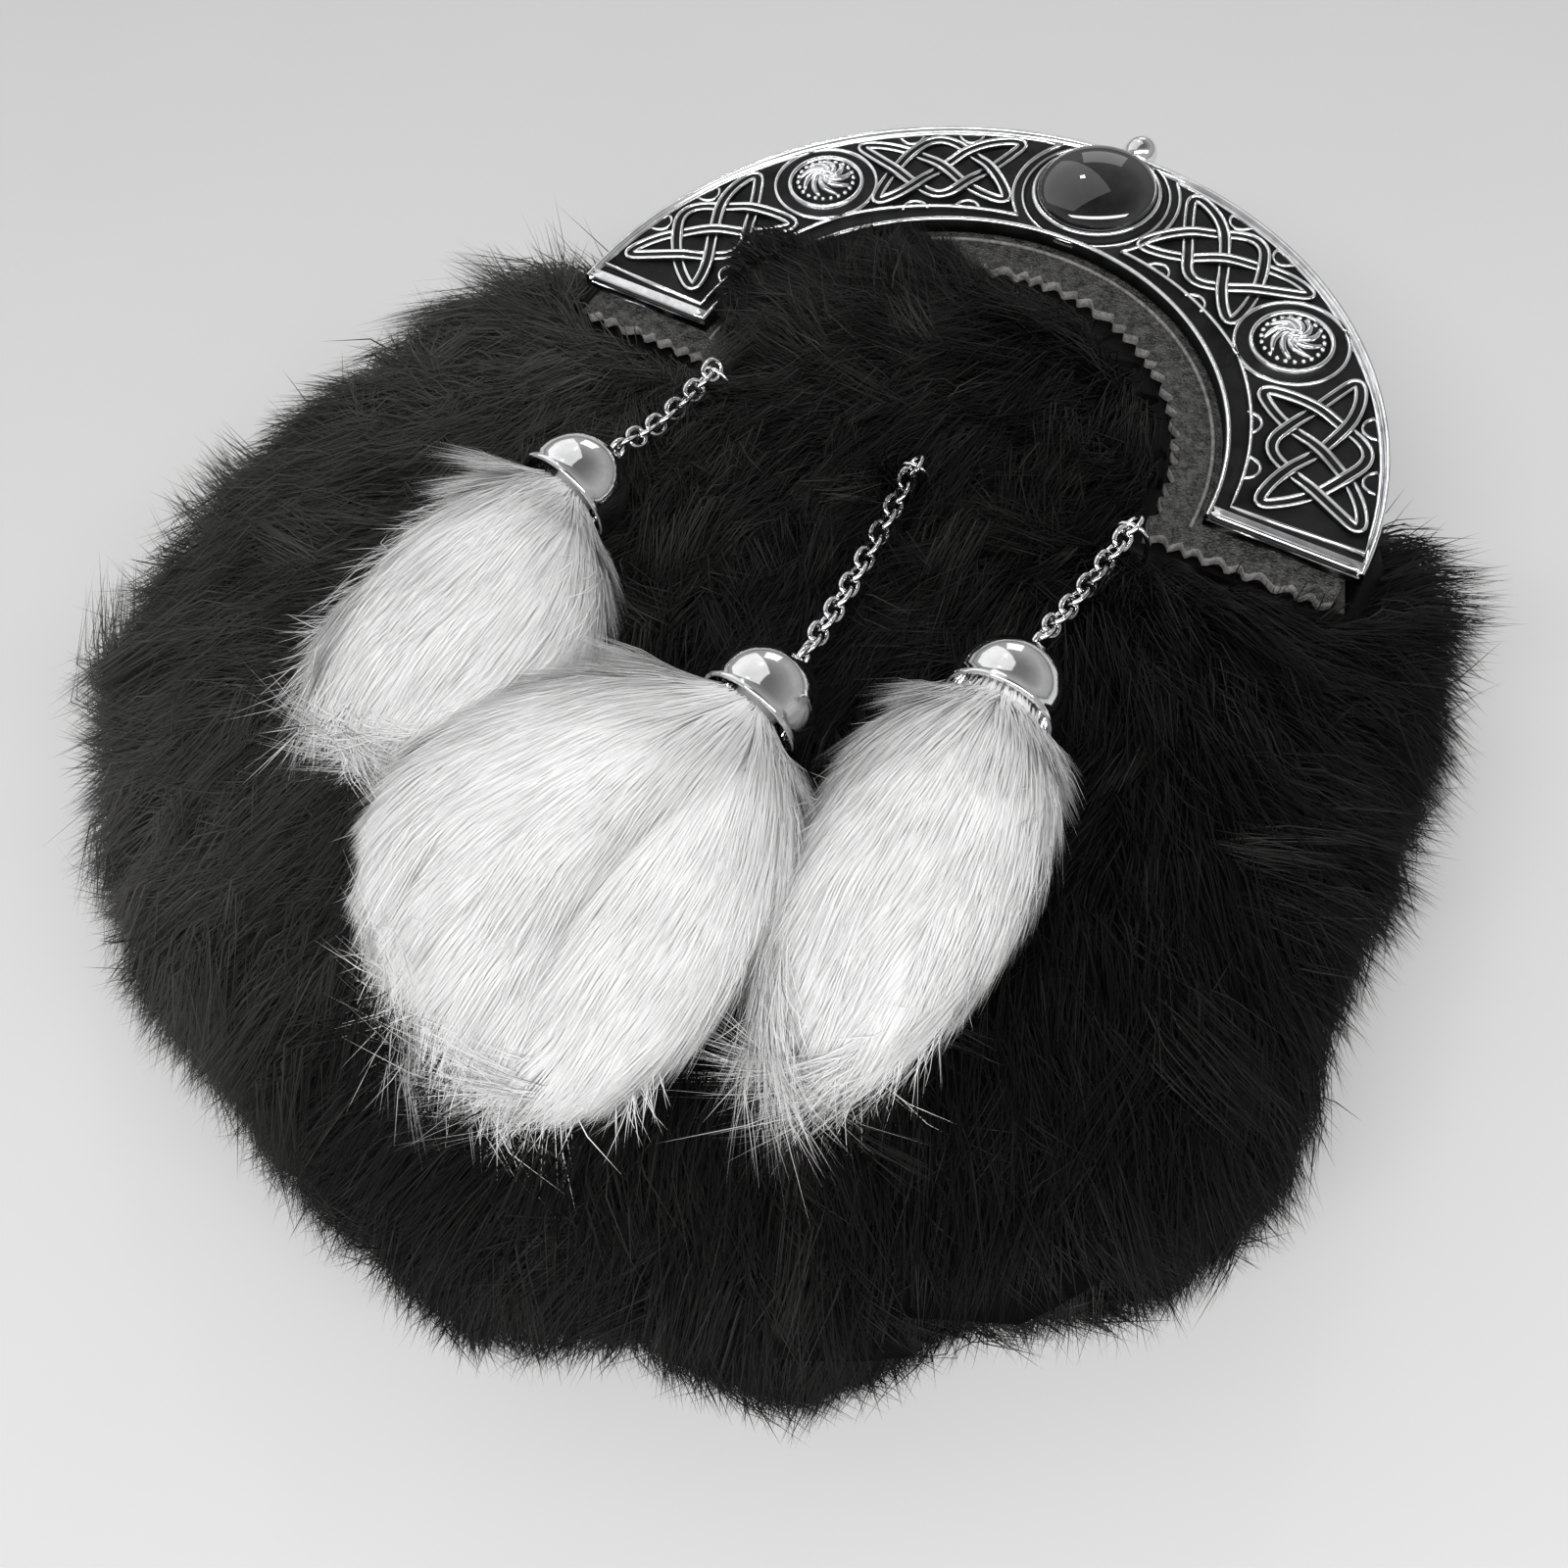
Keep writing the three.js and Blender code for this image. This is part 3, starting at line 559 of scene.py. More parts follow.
@dataclass
class FurFront:
    """The black rabbit pelt: its skin and the hair combed down and outwards over it."""

    pieces: int = 3
    hairs: int = 55000
    seed: int = 11
    centre_y: float = 25.0 * MM
    arch_y: float = 75.0 * MM
    leather_end: float = 68.2 * MM
    leather_inner: float = 38.8 * MM
    metal_outer: float = 75.6 * MM
    metal_inner: float = 47.6 * MM
    over_leather: float = 38.0 * MM
    over_metal: float = 41.2 * MM
    seat: tuple[float, float] = (37.5 * MM, 77.0 * MM)
    seat_top: float = 34.4 * MM
    low_by_leather: float = 36.2 * MM
    rise_from_leather: float = 0.75
    unbounded: float = 30.0 * MM
    lowest_top: float = 20.0 * MM
    lowest_side: float = 6.0 * MM
    spill_hairs: int = 9000
    spill_bearings: tuple[float, float] = (-93.0, -16.0)

    def build(self) -> None:
        """Builds the skin and the coat."""
        node = "fur_front"
        skin = merged_copy(node)
        self._measure(skin)
        tops = np.array([v.co for v in skin.verts])
        ring, _ = self._arch_place(tops)
        under = (ring > self.seat[0]) & (ring < self.seat[1]) & (tops[:, 1] > self.leather_end - 0.5 * MM)
        for vert, low in zip(skin.verts, np.where(under, self.seat_top, self._ceiling(tops) - 1.5 * MM)):
            if vert.co.z > self.lowest_top:
                vert.co.z = min(vert.co.z, max(low, self.lowest_top))
        rng = np.random.default_rng(self.seed)
        hairs = self.hairs // 1
        roots = scatter(skin, hairs * self.pieces, rng, self._grows)
        share = self._share(np.array([v.co for v in skin.verts]))
        for vert, inset, seat in zip(skin.verts, self._depth(share), under):
            if vert.co.z > self.lowest_side and not seat:
                vert.co -= vert.normal * inset
        under_fur = np.zeros(len(skin.verts))
        keep(tone(from_mesh("fur_skin", skin, [Finish.BLACK_FUR]), under_fur), "black_fur", node)
        comb = self._comb(roots)
        share = self._share(roots.points)
        reach = 0.9 + 0.25 * smoothstep(0.5, 1.0, share)
        depth = self._depth(share)
        # painted sheen towards the left flank and painted shade towards the right, added to the hair's tone
        painted_light = self._painted_light(roots.points)
        part = rng.permutation(len(roots.points)) % self.pieces
        for i in range(self.pieces):
            mine = part == i
            coat = Coat(
                name=f"fur_coat_{i + 1}", finish=Finish.BLACK_FUR, length=(14.5 + 2.0 * i) * MM, lean=30.0,
                settle=6.0, width=0.27 * MM, lock=(3.2 + 2.4 * i) * MM, gather=0.6, seed=self.seed + 1 + i,
            )
            own = Roots(roots.points[mine], roots.normals[mine])
            keep(coat.grow(own, comb[mine], reach[mine], depth[mine], self._tame, painted_light[mine]), "black_fur", node)
        self._overflow()

    def _overflow(self) -> None:
        """Grows the locks inside the arch that fall out over its leather and metal on the left."""
        rng = np.random.default_rng(self.seed + 9)
        count = self.spill_hairs
        bearing = rng.uniform(*self.spill_bearings, count)
        edge = self._edge_over(bearing) - 5 * MM
        ring = 30 * MM + (edge - 30 * MM) * rng.uniform(0.0, 1.0, count)
        a = np.radians(bearing)
        over = smoothstep(44 * MM, 49 * MM, ring)
        height = 37.5 * MM + (self.over_metal - 36.5 * MM) * over + rng.uniform(0.0, 1.4 * MM, count)
        points = np.column_stack([ring * np.sin(a), self.arch_y + ring * np.cos(a), height])
        normals = np.tile((0.0, 0.0, 1.0), (count, 1))
        away = np.column_stack([np.sin(a), np.cos(a), np.zeros(count)])
        comb = unit(away + np.array([-0.25, -0.1, 0.0]))
        coat = Coat(
            name="fur_overflow", finish=Finish.BLACK_FUR, length=10.5 * MM, lean=14.0, settle=2.0, width=0.27 * MM,
            lock=4.0 * MM, gather=0.5, seed=self.seed + 10, spread=0.2,
        )
        plain = np.ones(count)
        grown = coat.grow(Roots(points, normals), comb, plain, 0.5 * MM * plain, self._tame, 0.0 * plain)
        keep(grown, "black_fur", "fur_front")

    def _measure(self, skin: bmesh.types.BMesh) -> None:
        """Reads how far the pelt reaches from its middle in every direction."""
        points = np.array([v.co for v in skin.verts])
        offset = points[:, :2] - (0.0, self.centre_y)
        bearing = np.degrees(np.arctan2(offset[:, 1], offset[:, 0]))
        radius = np.linalg.norm(offset, axis=1)
        self.bearings = np.arange(-180.0, 181.0, 6.0)
        gap = np.abs((bearing[None, :] - self.bearings[:, None] + 180.0) % 360.0 - 180.0)
        self.reaches = np.array([radius[near < 4.0].max() for near in gap])

    def _grows(self, middles: np.ndarray, flats: np.ndarray) -> np.ndarray:
        """Hair grows on the faces that look up or outwards, clear of the leather above."""
        offset = middles[:, :2] - (0.0, self.centre_y)
        outward = np.sum(flats[:, :2] * unit(offset), axis=1) > 0.15
        top = (flats[:, 2] > 0.2) & (middles[:, 2] > 16 * MM)
        grows = top | (outward & (flats[:, 2] > -0.75))
        ring, _ = self._arch_place(middles)
        under = (ring > self.leather_inner - 1 * MM) & (ring < self.metal_outer) & (middles[:, 1] > self.leather_end)
        return grows & ~under

    def _depth(self, share: np.ndarray) -> np.ndarray:
        """How far under the outer form the hair starts, deeper at the edge."""
        return 2.6 * MM + 4.4 * MM * smoothstep(0.8, 1.0, share)

    def _share(self, points: np.ndarray) -> np.ndarray:
        """How far out each point lies, 0 at the middle and 1 at the edge."""
        offset = points[:, :2] - (0.0, self.centre_y)
        bearing = np.degrees(np.arctan2(offset[:, 1], offset[:, 0]))
        return np.linalg.norm(offset, axis=1) / np.interp(bearing, self.bearings, self.reaches)

    def _arch_place(self, points: np.ndarray) -> tuple[np.ndarray, np.ndarray]:
        """Distance from the arch's centre, and bearing clockwise from +Y in degrees."""
        x, y = points[:, 0], points[:, 1] - self.arch_y
        return np.hypot(x, y), np.degrees(np.arctan2(x, y))

    def _comb(self, roots: Roots) -> np.ndarray:
        """The way the fur lies: down the front, fanning outwards and drooping at its edges."""
        points = roots.points
        share = self._share(points)
        out = unit(points[:, :2] - (0.0, self.centre_y))
        fan = smoothstep(0.35, 0.95, share)[:, None]
        flow = out * 1.15 * fan + np.array([0.0, -1.0]) * (1.0 - 0.5 * fan)
        ring, bearing = self._arch_place(points)
        inside = (smoothstep(60 * MM, 76 * MM, points[:, 1]) * smoothstep(50 * MM, 44 * MM, ring))[:, None]
        left = smoothstep(8.0, -22.0, bearing)[:, None] * smoothstep(12 * MM, 30 * MM, ring)[:, None]
        away = unit(points[:, :2] - (0.0, self.arch_y))
        within = away * left + np.array([-0.35, -1.0]) * (1.0 - left)
        flow = flow * (1.0 - inside) + within * inside
        x, y = points[:, 0] / MM, points[:, 1] / MM
        swirl = 0.30 * np.sin(x / 19.0 + 1.3) * np.cos(y / 23.0) + 0.22 * np.sin(x / 8.0 - y / 11.0)
        cos, sin = np.cos(swirl), np.sin(swirl)
        turned = np.stack([flow[:, 0] * cos - flow[:, 1] * sin, flow[:, 0] * sin + flow[:, 1] * cos], axis=1)
        droop = -0.9 * smoothstep(0.8, 1.05, share)
        return unit(np.column_stack([turned, droop]))

    def _painted_light(self, points: np.ndarray) -> np.ndarray:
        """Painted light in the pelt's tone: a painted sheen, in patches, lighter towards its left flank, and painted
        shade darker towards its right.
        """
        x, y = points[:, 0] / MM, points[:, 1] / MM
        # painted sheen patches on the left flank, painted shade on the right
        sheen_patch = 0.5 + 0.5 * np.sin(x / 26.0 + 0.8) * np.cos(y / 21.0 - 0.4)
        return 0.50 * smoothstep(10.0, -85.0, x) * (0.5 + 0.7 * sheen_patch) - 0.10 * smoothstep(20.0, 70.0, x)

    def _edge_over(self, bearing: np.ndarray) -> np.ndarray:
        """How far out the hair inside the arch may reach, past the leather on its left side."""
        stops = (-180.0, -92.0, -88.0, -80.0, -69.0, -61.0, -54.0, -40.0, -26.0, -19.0, 180.0)
        reach = (38.8, 38.8, 47.0, 51.5, 57.5, 54.4, 49.5, 48.5, 46.0, 38.8, 38.8)
        return np.interp(bearing, stops, reach) * MM

    def _tame(self, strands: Strands, rng: np.random.Generator) -> Strands:
        """Trims hair to the pelt's outline and keeps it off the leather and the metal."""
        count = len(strands.tip)
        over = self._share(strands.tip)
        offset = np.linalg.norm(strands.tip[:, :2] - (0.0, self.centre_y), axis=1)
        edge = offset / over + self._tuft(strands.tip) + np.minimum(rng.exponential(1.8 * MM, count), 5.0 * MM)
        start = np.linalg.norm(strands.base[:, :2] - (0.0, self.centre_y), axis=1)
        factor = np.clip((edge - start) / np.maximum(offset - start, 0.1 * MM), 0.25, 1.0)
        strands.shorten(np.where(offset > edge, factor, 1.0))
        loose = 0.6 * MM * rng.normal(size=count)
        for _ in range(12):
            strands.shorten(np.where(self._barred(strands, loose), 0.8, 1.0))
        for place in (strands.middle, strands.tip):
            ring, _ = self._arch_place(place)
            up = place[:, 1] > self.leather_end
            lift = np.where(ring > self.metal_inner, self.over_metal, self.over_leather)
            lift = lift + np.abs(loose) * 0.5
            covers = up & (ring > self.leather_inner) & (ring < self.metal_outer)
            place[:, 2] = np.where(covers, np.maximum(place[:, 2], lift), place[:, 2])
        strands.shorten(np.where(self._barred(strands, loose), 0.0, 1.0))
        for place in (strands.base, strands.middle, strands.tip):
            place[:, 2] = np.minimum(place[:, 2], self._ceiling(place) + np.abs(loose))
        return strands

    def _ceiling(self, points: np.ndarray) -> np.ndarray:
        """The highest that fur may stand, low beside the leather so that its pinked edge shows."""
        ring, bearing = self._arch_place(points)
        below = np.hypot(np.maximum(self.leather_end - points[:, 1], 0.0), np.maximum(ring - 74 * MM, 0.0))
        below = np.where(ring < 38 * MM, below + (38 * MM - ring), below)
        within = np.maximum(38.5 * MM - ring, 0.0)
        open_side = smoothstep(-28.0, -8.0, bearing) * smoothstep(110.0, 95.0, bearing)
        inside = (points[:, 1] > self.leather_end) & (ring < 44 * MM)
        gap = np.where(inside, within + self.unbounded * (1.0 - open_side), below)
        gap = np.where((points[:, 1] > self.leather_end) & (ring >= 44 * MM), self.unbounded, gap)
        return self.low_by_leather + self.rise_from_leather * gap

    def _tuft(self, points: np.ndarray) -> np.ndarray:
        """How far the pelt's locks stand out past its outline, in uneven tufts round it."""
        a = np.arctan2(points[:, 1] - self.centre_y, points[:, 0])
        wave = np.sin(13.0 * a + 0.6) * np.sin(5.0 * a + 2.0) + 0.6 * np.sin(31.0 * a + 1.1) * np.sin(9.0 * a)
        return 0.6 * MM + 2.8 * MM * np.clip(wave, -0.4, 1.0)

    def _barred(self, strands: Strands, loose: np.ndarray) -> np.ndarray:
        """Hairs whose middle or tip strays over the leather or the metal."""
        barred = np.zeros(len(loose), bool)
        for place in (strands.middle, strands.tip):
            ring, bearing = self._arch_place(place)
            band = (ring > self._edge_over(bearing) + loose) & (ring < self.metal_outer + 0.4 * np.abs(loose))
            barred |= band & (place[:, 1] > self.leather_end + 0.4 * np.abs(loose))
        return barred


# ------------------------------------------------------------------ cantle


@dataclass(frozen=True)
class Arch:
    """The half ring that the cantle and its leather follow."""

    y: float = 75.0 * MM
    outer: float = 75.0 * MM
    inner: float = 48.4 * MM
    end: float = 0.7 * MM

    def at(self, radius: float, bearing: float, z: float) -> Vector:
        """A point by its radius, its bearing clockwise from +Y in degrees, and its height."""
        a = math.radians(bearing)
        return Vector((radius * math.sin(a), self.y + radius * math.cos(a), z))


ARCH = Arch()


def chaikin(points: np.ndarray, rounds: int, closed: bool = True) -> np.ndarray:
    """Rounds a polygon by cutting its corners."""
    for _ in range(rounds):
        after = np.roll(points, -1, axis=0)
        cut = np.stack([0.75 * points + 0.25 * after, 0.25 * points + 0.75 * after], axis=1)
        cut = cut.reshape(-1, points.shape[1])
        points = cut if closed else np.vstack([points[:1], cut[1:-3], points[-1:]])
    return points


def crossings(path: np.ndarray) -> list[tuple[float, float]]:
    """Finds where a closed flat path crosses itself, as pairs of places along it."""
    a, b = path, np.roll(path, -1, axis=0)
    found = []
    for i in range(len(path)):
        for j in range(i + 2, len(path)):
            if i == 0 and j == len(path) - 1:
                continue
            r, s, q = b[i] - a[i], b[j] - a[j], a[j] - a[i]
            det = r[0] * s[1] - r[1] * s[0]
            if abs(det) < 1e-12:
                continue
            t = (q[0] * s[1] - q[1] * s[0]) / det
            u = (q[0] * r[1] - q[1] * r[0]) / det
            if 0.0 <= t < 1.0 and 0.0 <= u < 1.0:
                found.append((i + t, j + u))
    return found


def weave(path: np.ndarray) -> np.ndarray:
    """Height of a closed strand, from -1 where it goes under itself to 1 where it goes over."""
    stops = sorted(t for pair in crossings(path) for t in pair)
    signs = [1.0 if i % 2 == 0 else -1.0 for i in range(len(stops))]
    count = len(path)
    places = np.array([stops[-1] - count, *stops, stops[0] + count])
    values = np.array([signs[-1], *signs, signs[0]])
    at = np.arange(count)
    k = np.clip(np.searchsorted(places, at, side="right") - 1, 0, len(places) - 2)
    t = (at - places[k]) / (places[k + 1] - places[k])
    ease = 0.5 - 0.5 * np.cos(math.pi * t)
    return values[k] * (1.0 - ease) + values[k + 1] * ease


@dataclass
class Cantle:
    """The cast half ring: plate, rims, four woven knots, two bosses, the stone's bezel and a knob."""

    back: float = 37.3 * MM
    face: float = 39.0 * MM
    rim: float = 40.2 * MM
    knot_bearings: tuple[float, ...] = (-69.8, -27.0, 27.0, 69.8)
    knot_span: float = 26.0
    knot_radii: tuple[float, float] = (55.3 * MM, 72.0 * MM)
    knot_rise: float = 0.36 * MM
    border_radii: tuple[float, float] = (51.6 * MM, 73.7 * MM)
    arch_size: tuple[float, float] = (2.4 * MM, 2.9 * MM)
    boss_bearing: float = 47.6
    boss_radius: float = 63.5 * MM
    boss_size: float = 7.4 * MM
    stone_place: Vector = field(default_factory=lambda: Vector((1.0, 137.2, 39.3)) * MM)
    stone_size: float = 11.2 * MM
    knob_place: Vector = field(default_factory=lambda: Vector((3.2, 152.6, 38.4)) * MM)
    knob_size: float = 3.3 * MM

    def build(self) -> None:
        """Builds the metal and the stone."""
        metal = Shell()
        self._plate(metal)
        for bearing in self.knot_bearings:
            self._knot(metal, bearing)
            self._border(metal, bearing)
            self._small_arches(metal, bearing)
        for side in (-1, 1):
            self._boss(metal, side)
            self._end_bar(metal, side)
        self._bezel(metal)
        metal.ball(self.knob_place, self.knob_size)
        keep(metal.finish("cantle_metal", [Finish.BRIGHT, Finish.RECESS]), "cantle_metal", "cantle")
        self._stone()

    def _plate(self, metal: Shell) -> None:
        """Spins the plate and its two rims, then cuts it level at its ends."""
        bright, dark = 0, 1
        ridge = 0.35 * MM
        profile = [
            (ARCH.inner, self.back, dark), (ARCH.inner, self.rim - ridge, bright),
            (ARCH.inner + 0.3 * MM, self.rim, bright), (ARCH.inner + 0.75 * MM, self.rim, dark),
            (ARCH.inner + 1.2 * MM, self.face, dark), (74.0 * MM, self.face, bright),
            (74.2 * MM, self.rim - 0.2 * MM, bright), (74.45 * MM, self.rim, bright),
            (74.75 * MM, self.rim - 0.05 * MM, bright), (ARCH.outer, self.rim - 0.7 * MM, dark),
            (ARCH.outer, self.back, bright), (ARCH.inner, self.back, bright),
        ]
        place = Matrix.Translation((0.0, ARCH.y, 0.0))
        metal.spun([(r, h) for r, h, _ in profile], place, 144, [slot for _, _, slot in profile[:-1]])
        geometry = metal.bm.verts[:] + metal.bm.edges[:] + metal.bm.faces[:]
        cut = bmesh.ops.bisect_plane(
            metal.bm, geom=geometry, plane_co=(0.0, ARCH.y + ARCH.end, 0.0), plane_no=(0.0, -1.0, 0.0),
            clear_outer=True,
        )
        rims = [e for e in cut["geom_cut"] if isinstance(e, bmesh.types.BMEdge)]
        bmesh.ops.holes_fill(metal.bm, edges=rims, sides=0)

    def _on_plate(self, flat: np.ndarray, heights: np.ndarray) -> np.ndarray:
        """Places flat points of bearing in degrees and radius on the ring, at their heights."""
        a = np.radians(flat[:, 0])
        return np.column_stack([flat[:, 1] * np.sin(a), ARCH.y + flat[:, 1] * np.cos(a), heights])

    def _knot(self, metal: Shell, bearing: float) -> None:
        """Weaves one closed strand with four pointed corners."""
        corners = np.array(
            [
                (0.55, 2.75), (-0.15, 4.15), (1.55, 3.55), (3.0, 2.0), (4.45, 0.45), (6.15, -0.15), (5.45, 1.25),
                (4.5, 2.6), (3.0, 4.25), (1.5, 2.6), (0.55, 1.25), (-0.15, -0.15), (1.55, 0.45), (3.0, 2.0),
                (4.45, 3.55), (6.15, 4.15), (5.45, 2.75), (4.5, 1.4), (3.0, -0.25), (1.5, 1.4),
            ]
        )
        flat = chaikin(corners, 3)
        inner, outer = self.knot_radii
        side = 1.0 if bearing > 0 else -1.0
        turned = np.column_stack([
            bearing + side * (flat[:, 0] / 6.0 - 0.5) * self.knot_span,
            inner + flat[:, 1] / 4.0 * (outer - inner),
        ])
        path = self._on_plate(turned, self.face + self.knot_rise * weave(flat))
        profile = [
            (-1.18 * MM, -0.5 * MM), (-1.12 * MM, 0.62 * MM), (-0.96 * MM, 0.86 * MM), (-0.66 * MM, 0.86 * MM),
            (-0.48 * MM, 0.6 * MM), (-0.36 * MM, 0.3 * MM), (0.36 * MM, 0.3 * MM), (0.48 * MM, 0.6 * MM),
            (0.66 * MM, 0.86 * MM), (0.96 * MM, 0.86 * MM), (1.12 * MM, 0.62 * MM), (1.18 * MM, -0.5 * MM),
        ]
        slots = [1, 0, 0, 0, 1, 1, 1, 0, 0, 0, 1, 1]
        metal.swept(path, profile, True, slots=slots)

    def _wire(self, metal: Shell, path: np.ndarray, half: float, rise: float, closed: bool) -> None:
        """Lays a raised bright line along a path."""
        foot = -0.4 * MM
        profile = [(-half, foot), (-half, 0.5 * rise), (-0.5 * half, rise), (0.5 * half, rise), (half, 0.5 * rise)]
        profile.append((half, foot))
        metal.swept(path, profile, closed)

    def _border(self, metal: Shell, bearing: float) -> None:
        """Frames one knot: hollow-sided against the stone and the boss, straight at the ring's end."""
        inner, outer = self.border_radii
        side = math.copysign(1.0, bearing)
        if abs(bearing) < self.boss_bearing:
            near = self._hollow(ARCH.at(62.2 * MM, 0.9, 0.0), 15.6 * MM, side)
            far = self._hollow(ARCH.at(self.boss_radius, side * self.boss_bearing, 0.0), 9.8 * MM, -side)[::-1]
        else:
            near = self._hollow(ARCH.at(self.boss_radius, side * self.boss_bearing, 0.0), 9.8 * MM, side)
            levels = [(r, ARCH.end + 3.6 * MM + 0.04 * (r - inner)) for r in (outer, inner)]
            far = [ARCH.at(r, side * math.degrees(math.acos(level / r)), 0.0) for r, level in levels]
        start, end = far[-1], near[0]
        path = list(near) + self._arc(near[-1], far[0]) + list(far) + self._arc(start, end)
        flat = np.array([(p.x, p.y, self.face) for p in path])
        keepers = np.linalg.norm(flat - np.roll(flat, 1, axis=0), axis=1) > 1e-5
        self._wire(metal, flat[keepers], 0.36 * MM, 0.75 * MM, True)

    def _hollow(self, centre: Vector, radius: float, side: float) -> list[Vector]:
        """Points of the arc about a boss or the stone that lies within the band, outer end last."""
        inner, outer = self.border_radii
        points = []
        for step in range(181):
            a = math.radians(step * 2 - 180)
            point = centre + radius * Vector((math.cos(a), math.sin(a), 0.0))
            offset = point - Vector((0.0, ARCH.y, 0.0))
            turned = math.atan2(offset.x, offset.y) - math.atan2(centre.x, centre.y - ARCH.y)
            if inner <= offset.length <= outer and turned * side > 0.0:
                points.append(point)
        points.sort(key=lambda p: (p - Vector((0.0, ARCH.y, 0.0))).length)
        return points

    def _arc(self, start: Vector, end: Vector, steps: int = 14) -> list[Vector]:
        """Points strictly between two places, round the arch's centre."""
        middle = Vector((0.0, ARCH.y, 0.0))
        a, b = start - middle, end - middle
        t0, t1 = math.degrees(math.atan2(a.x, a.y)), math.degrees(math.atan2(b.x, b.y))
        shares = [k / steps for k in range(1, steps)]
        return [ARCH.at(a.length + (b.length - a.length) * s, t0 + (t1 - t0) * s, 0.0) for s in shares]

    def _small_arches(self, metal: Shell, bearing: float) -> None:
        """Sets small raised arches between the knot's loops and its border."""
        inner, outer = self.border_radii
        for edge, way, lean in ((outer, -1.0, 4.6), (inner, 1.0, 5.4)):
            half = math.degrees(self.arch_size[0] / edge)
            for side in (-1.0, 1.0):
                path = []
                for t in np.linspace(0.08 * math.pi, 0.92 * math.pi, 13):
                    radius = edge + way * self.arch_size[1] * math.sin(t)
                    path.append(ARCH.at(radius, bearing + side * lean + half * math.cos(t), self.face))
                self._wire(metal, np.array(path), 0.3 * MM, 0.6 * MM, False)

    def _boss(self, metal: Shell, side: int) -> None:
        """Turns one boss: a ring round a dome with swirling petals."""
        centre = ARCH.at(self.boss_radius, side * self.boss_bearing, self.face)
        place = Matrix.Translation(centre)
        size = self.boss_size
        profile = [
            (size, -0.3 * MM), (size, 0.9 * MM), (size - 0.25 * MM, 1.2 * MM), (size - 0.6 * MM, 1.2 * MM),
            (size - 0.9 * MM, 0.8 * MM), (size - 1.1 * MM, 0.2 * MM), (size - 1.5 * MM, 0.2 * MM),
        ]
        slots = [0, 0, 0, 0, 1, 1]
        edge, crown = size - 1.5 * MM, 2.1 * MM
        rings = 8
        for i in range(1, rings + 1):
            a = 0.5 * math.pi * i / rings
            profile.append((edge * math.cos(a), 0.2 * MM + crown * math.sin(a)))
            slots.append(1)
        metal.spun(profile, place, 48, slots)
        for petal in range(9):
            start = 2.0 * math.pi * petal / 9
            self._petal(metal, centre, start, edge, crown)
        bead = edge * 0.9
        for k in range(22):
            a = 2.0 * math.pi * k / 22
            metal.ball(centre + Vector((bead * math.cos(a), bead * math.sin(a), 1.15 * MM)), 0.5 * MM, 8)
        metal.ball(centre + Vector((0.0, 0.0, crown)), 0.95 * MM, 16)

    def _petal(self, metal: Shell, centre: Vector, start: float, edge: float, crown: float) -> None:
        """Lays one curled petal on a boss's dome."""
        steps = 10
        path, ups, grow = [], [], []
        for k in range(steps + 1):
            t = k / steps
            reach = edge * (0.16 + 0.66 * t)
            a = start + 1.5 * t**0.8
            tilt = math.acos(min(reach / edge, 1.0))
            flat = Vector((math.cos(a), math.sin(a), 0.0))
            path.append(centre + flat * reach + UP * (0.2 * MM + crown * math.sin(tilt)))
            ups.append((flat * (reach / edge) * crown / edge + UP * math.sin(tilt)).normalized())
            grow.append(0.55 + 1.0 * math.sin(math.pi * min(0.12 + 0.8 * t, 1.0)))
        profile = [(-0.42 * MM, -0.2 * MM), (-0.3 * MM, 0.3 * MM), (0.0, 0.45 * MM), (0.3 * MM, 0.3 * MM)]
        profile.append((0.42 * MM, -0.2 * MM))
        metal.swept(np.array(path), profile, False, ups, scale=np.array(grow))

    def _end_bar(self, metal: Shell, side: int) -> None:
        """Lays the bright bar across one end of the ring."""
        steps = 12
        radii = np.linspace(ARCH.inner + 0.3 * MM, ARCH.outer - 0.6 * MM, steps)
        y = ARCH.y + ARCH.end + 1.3 * MM
        x = side * np.sqrt(radii**2 - (y - ARCH.y) ** 2)
        path = np.column_stack([x, np.full(steps, y), np.full(steps, self.face)])
        half = 1.15 * MM
        profile = [(-half, -0.5 * MM), (-half, 0.7 * MM), (-0.6 * half, 1.2 * MM), (0.0, 0.85 * MM)]
        profile += [(0.6 * half, 1.2 * MM), (half, 0.7 * MM), (half, -0.5 * MM)]
        metal.swept(path, profile, False)

    def _bezel(self, metal: Shell) -> None:
        """Turns the stone's bezel and the ring round it."""
        size = self.stone_size
        low = self.face - self.stone_place.z - 0.3 * MM
        profile = [
            (size + 2.8 * MM, low), (size + 2.8 * MM, 0.3 * MM), (size + 2.55 * MM, 0.5 * MM),
            (size + 2.3 * MM, 0.3 * MM), (size + 2.1 * MM, -0.1 * MM), (size + 1.2 * MM, -0.1 * MM),
            (size + 0.9 * MM, 1.1 * MM), (size + 0.65 * MM, 1.5 * MM), (size + 0.35 * MM, 1.5 * MM),
            (size + 0.05 * MM, 1.3 * MM), (size + 0.05 * MM, 0.2 * MM),
        ]
        metal.spun(profile, Matrix.Translation(self.stone_place), 72, [0, 0, 0, 1, 1, 1, 0, 0, 0, 1])

    def _stone(self) -> None:
        """Turns the domed stone."""
        stone = Shell()
        height, girdle, rings = 5.0 * MM, 1.2 * MM, 24
        profile = [(0.0, 0.0), (self.stone_size, 0.0), (self.stone_size, girdle)]
        for i in range(1, rings + 1):
            a = 0.5 * math.pi * i / rings
            profile.append((self.stone_size * math.cos(a), girdle + height * math.sin(a)))
        stone.spun(profile, Matrix.Translation(self.stone_place), 96)
        keep(stone.finish("stone_dome", [Finish.STONE]), "dark_stone", "stone")


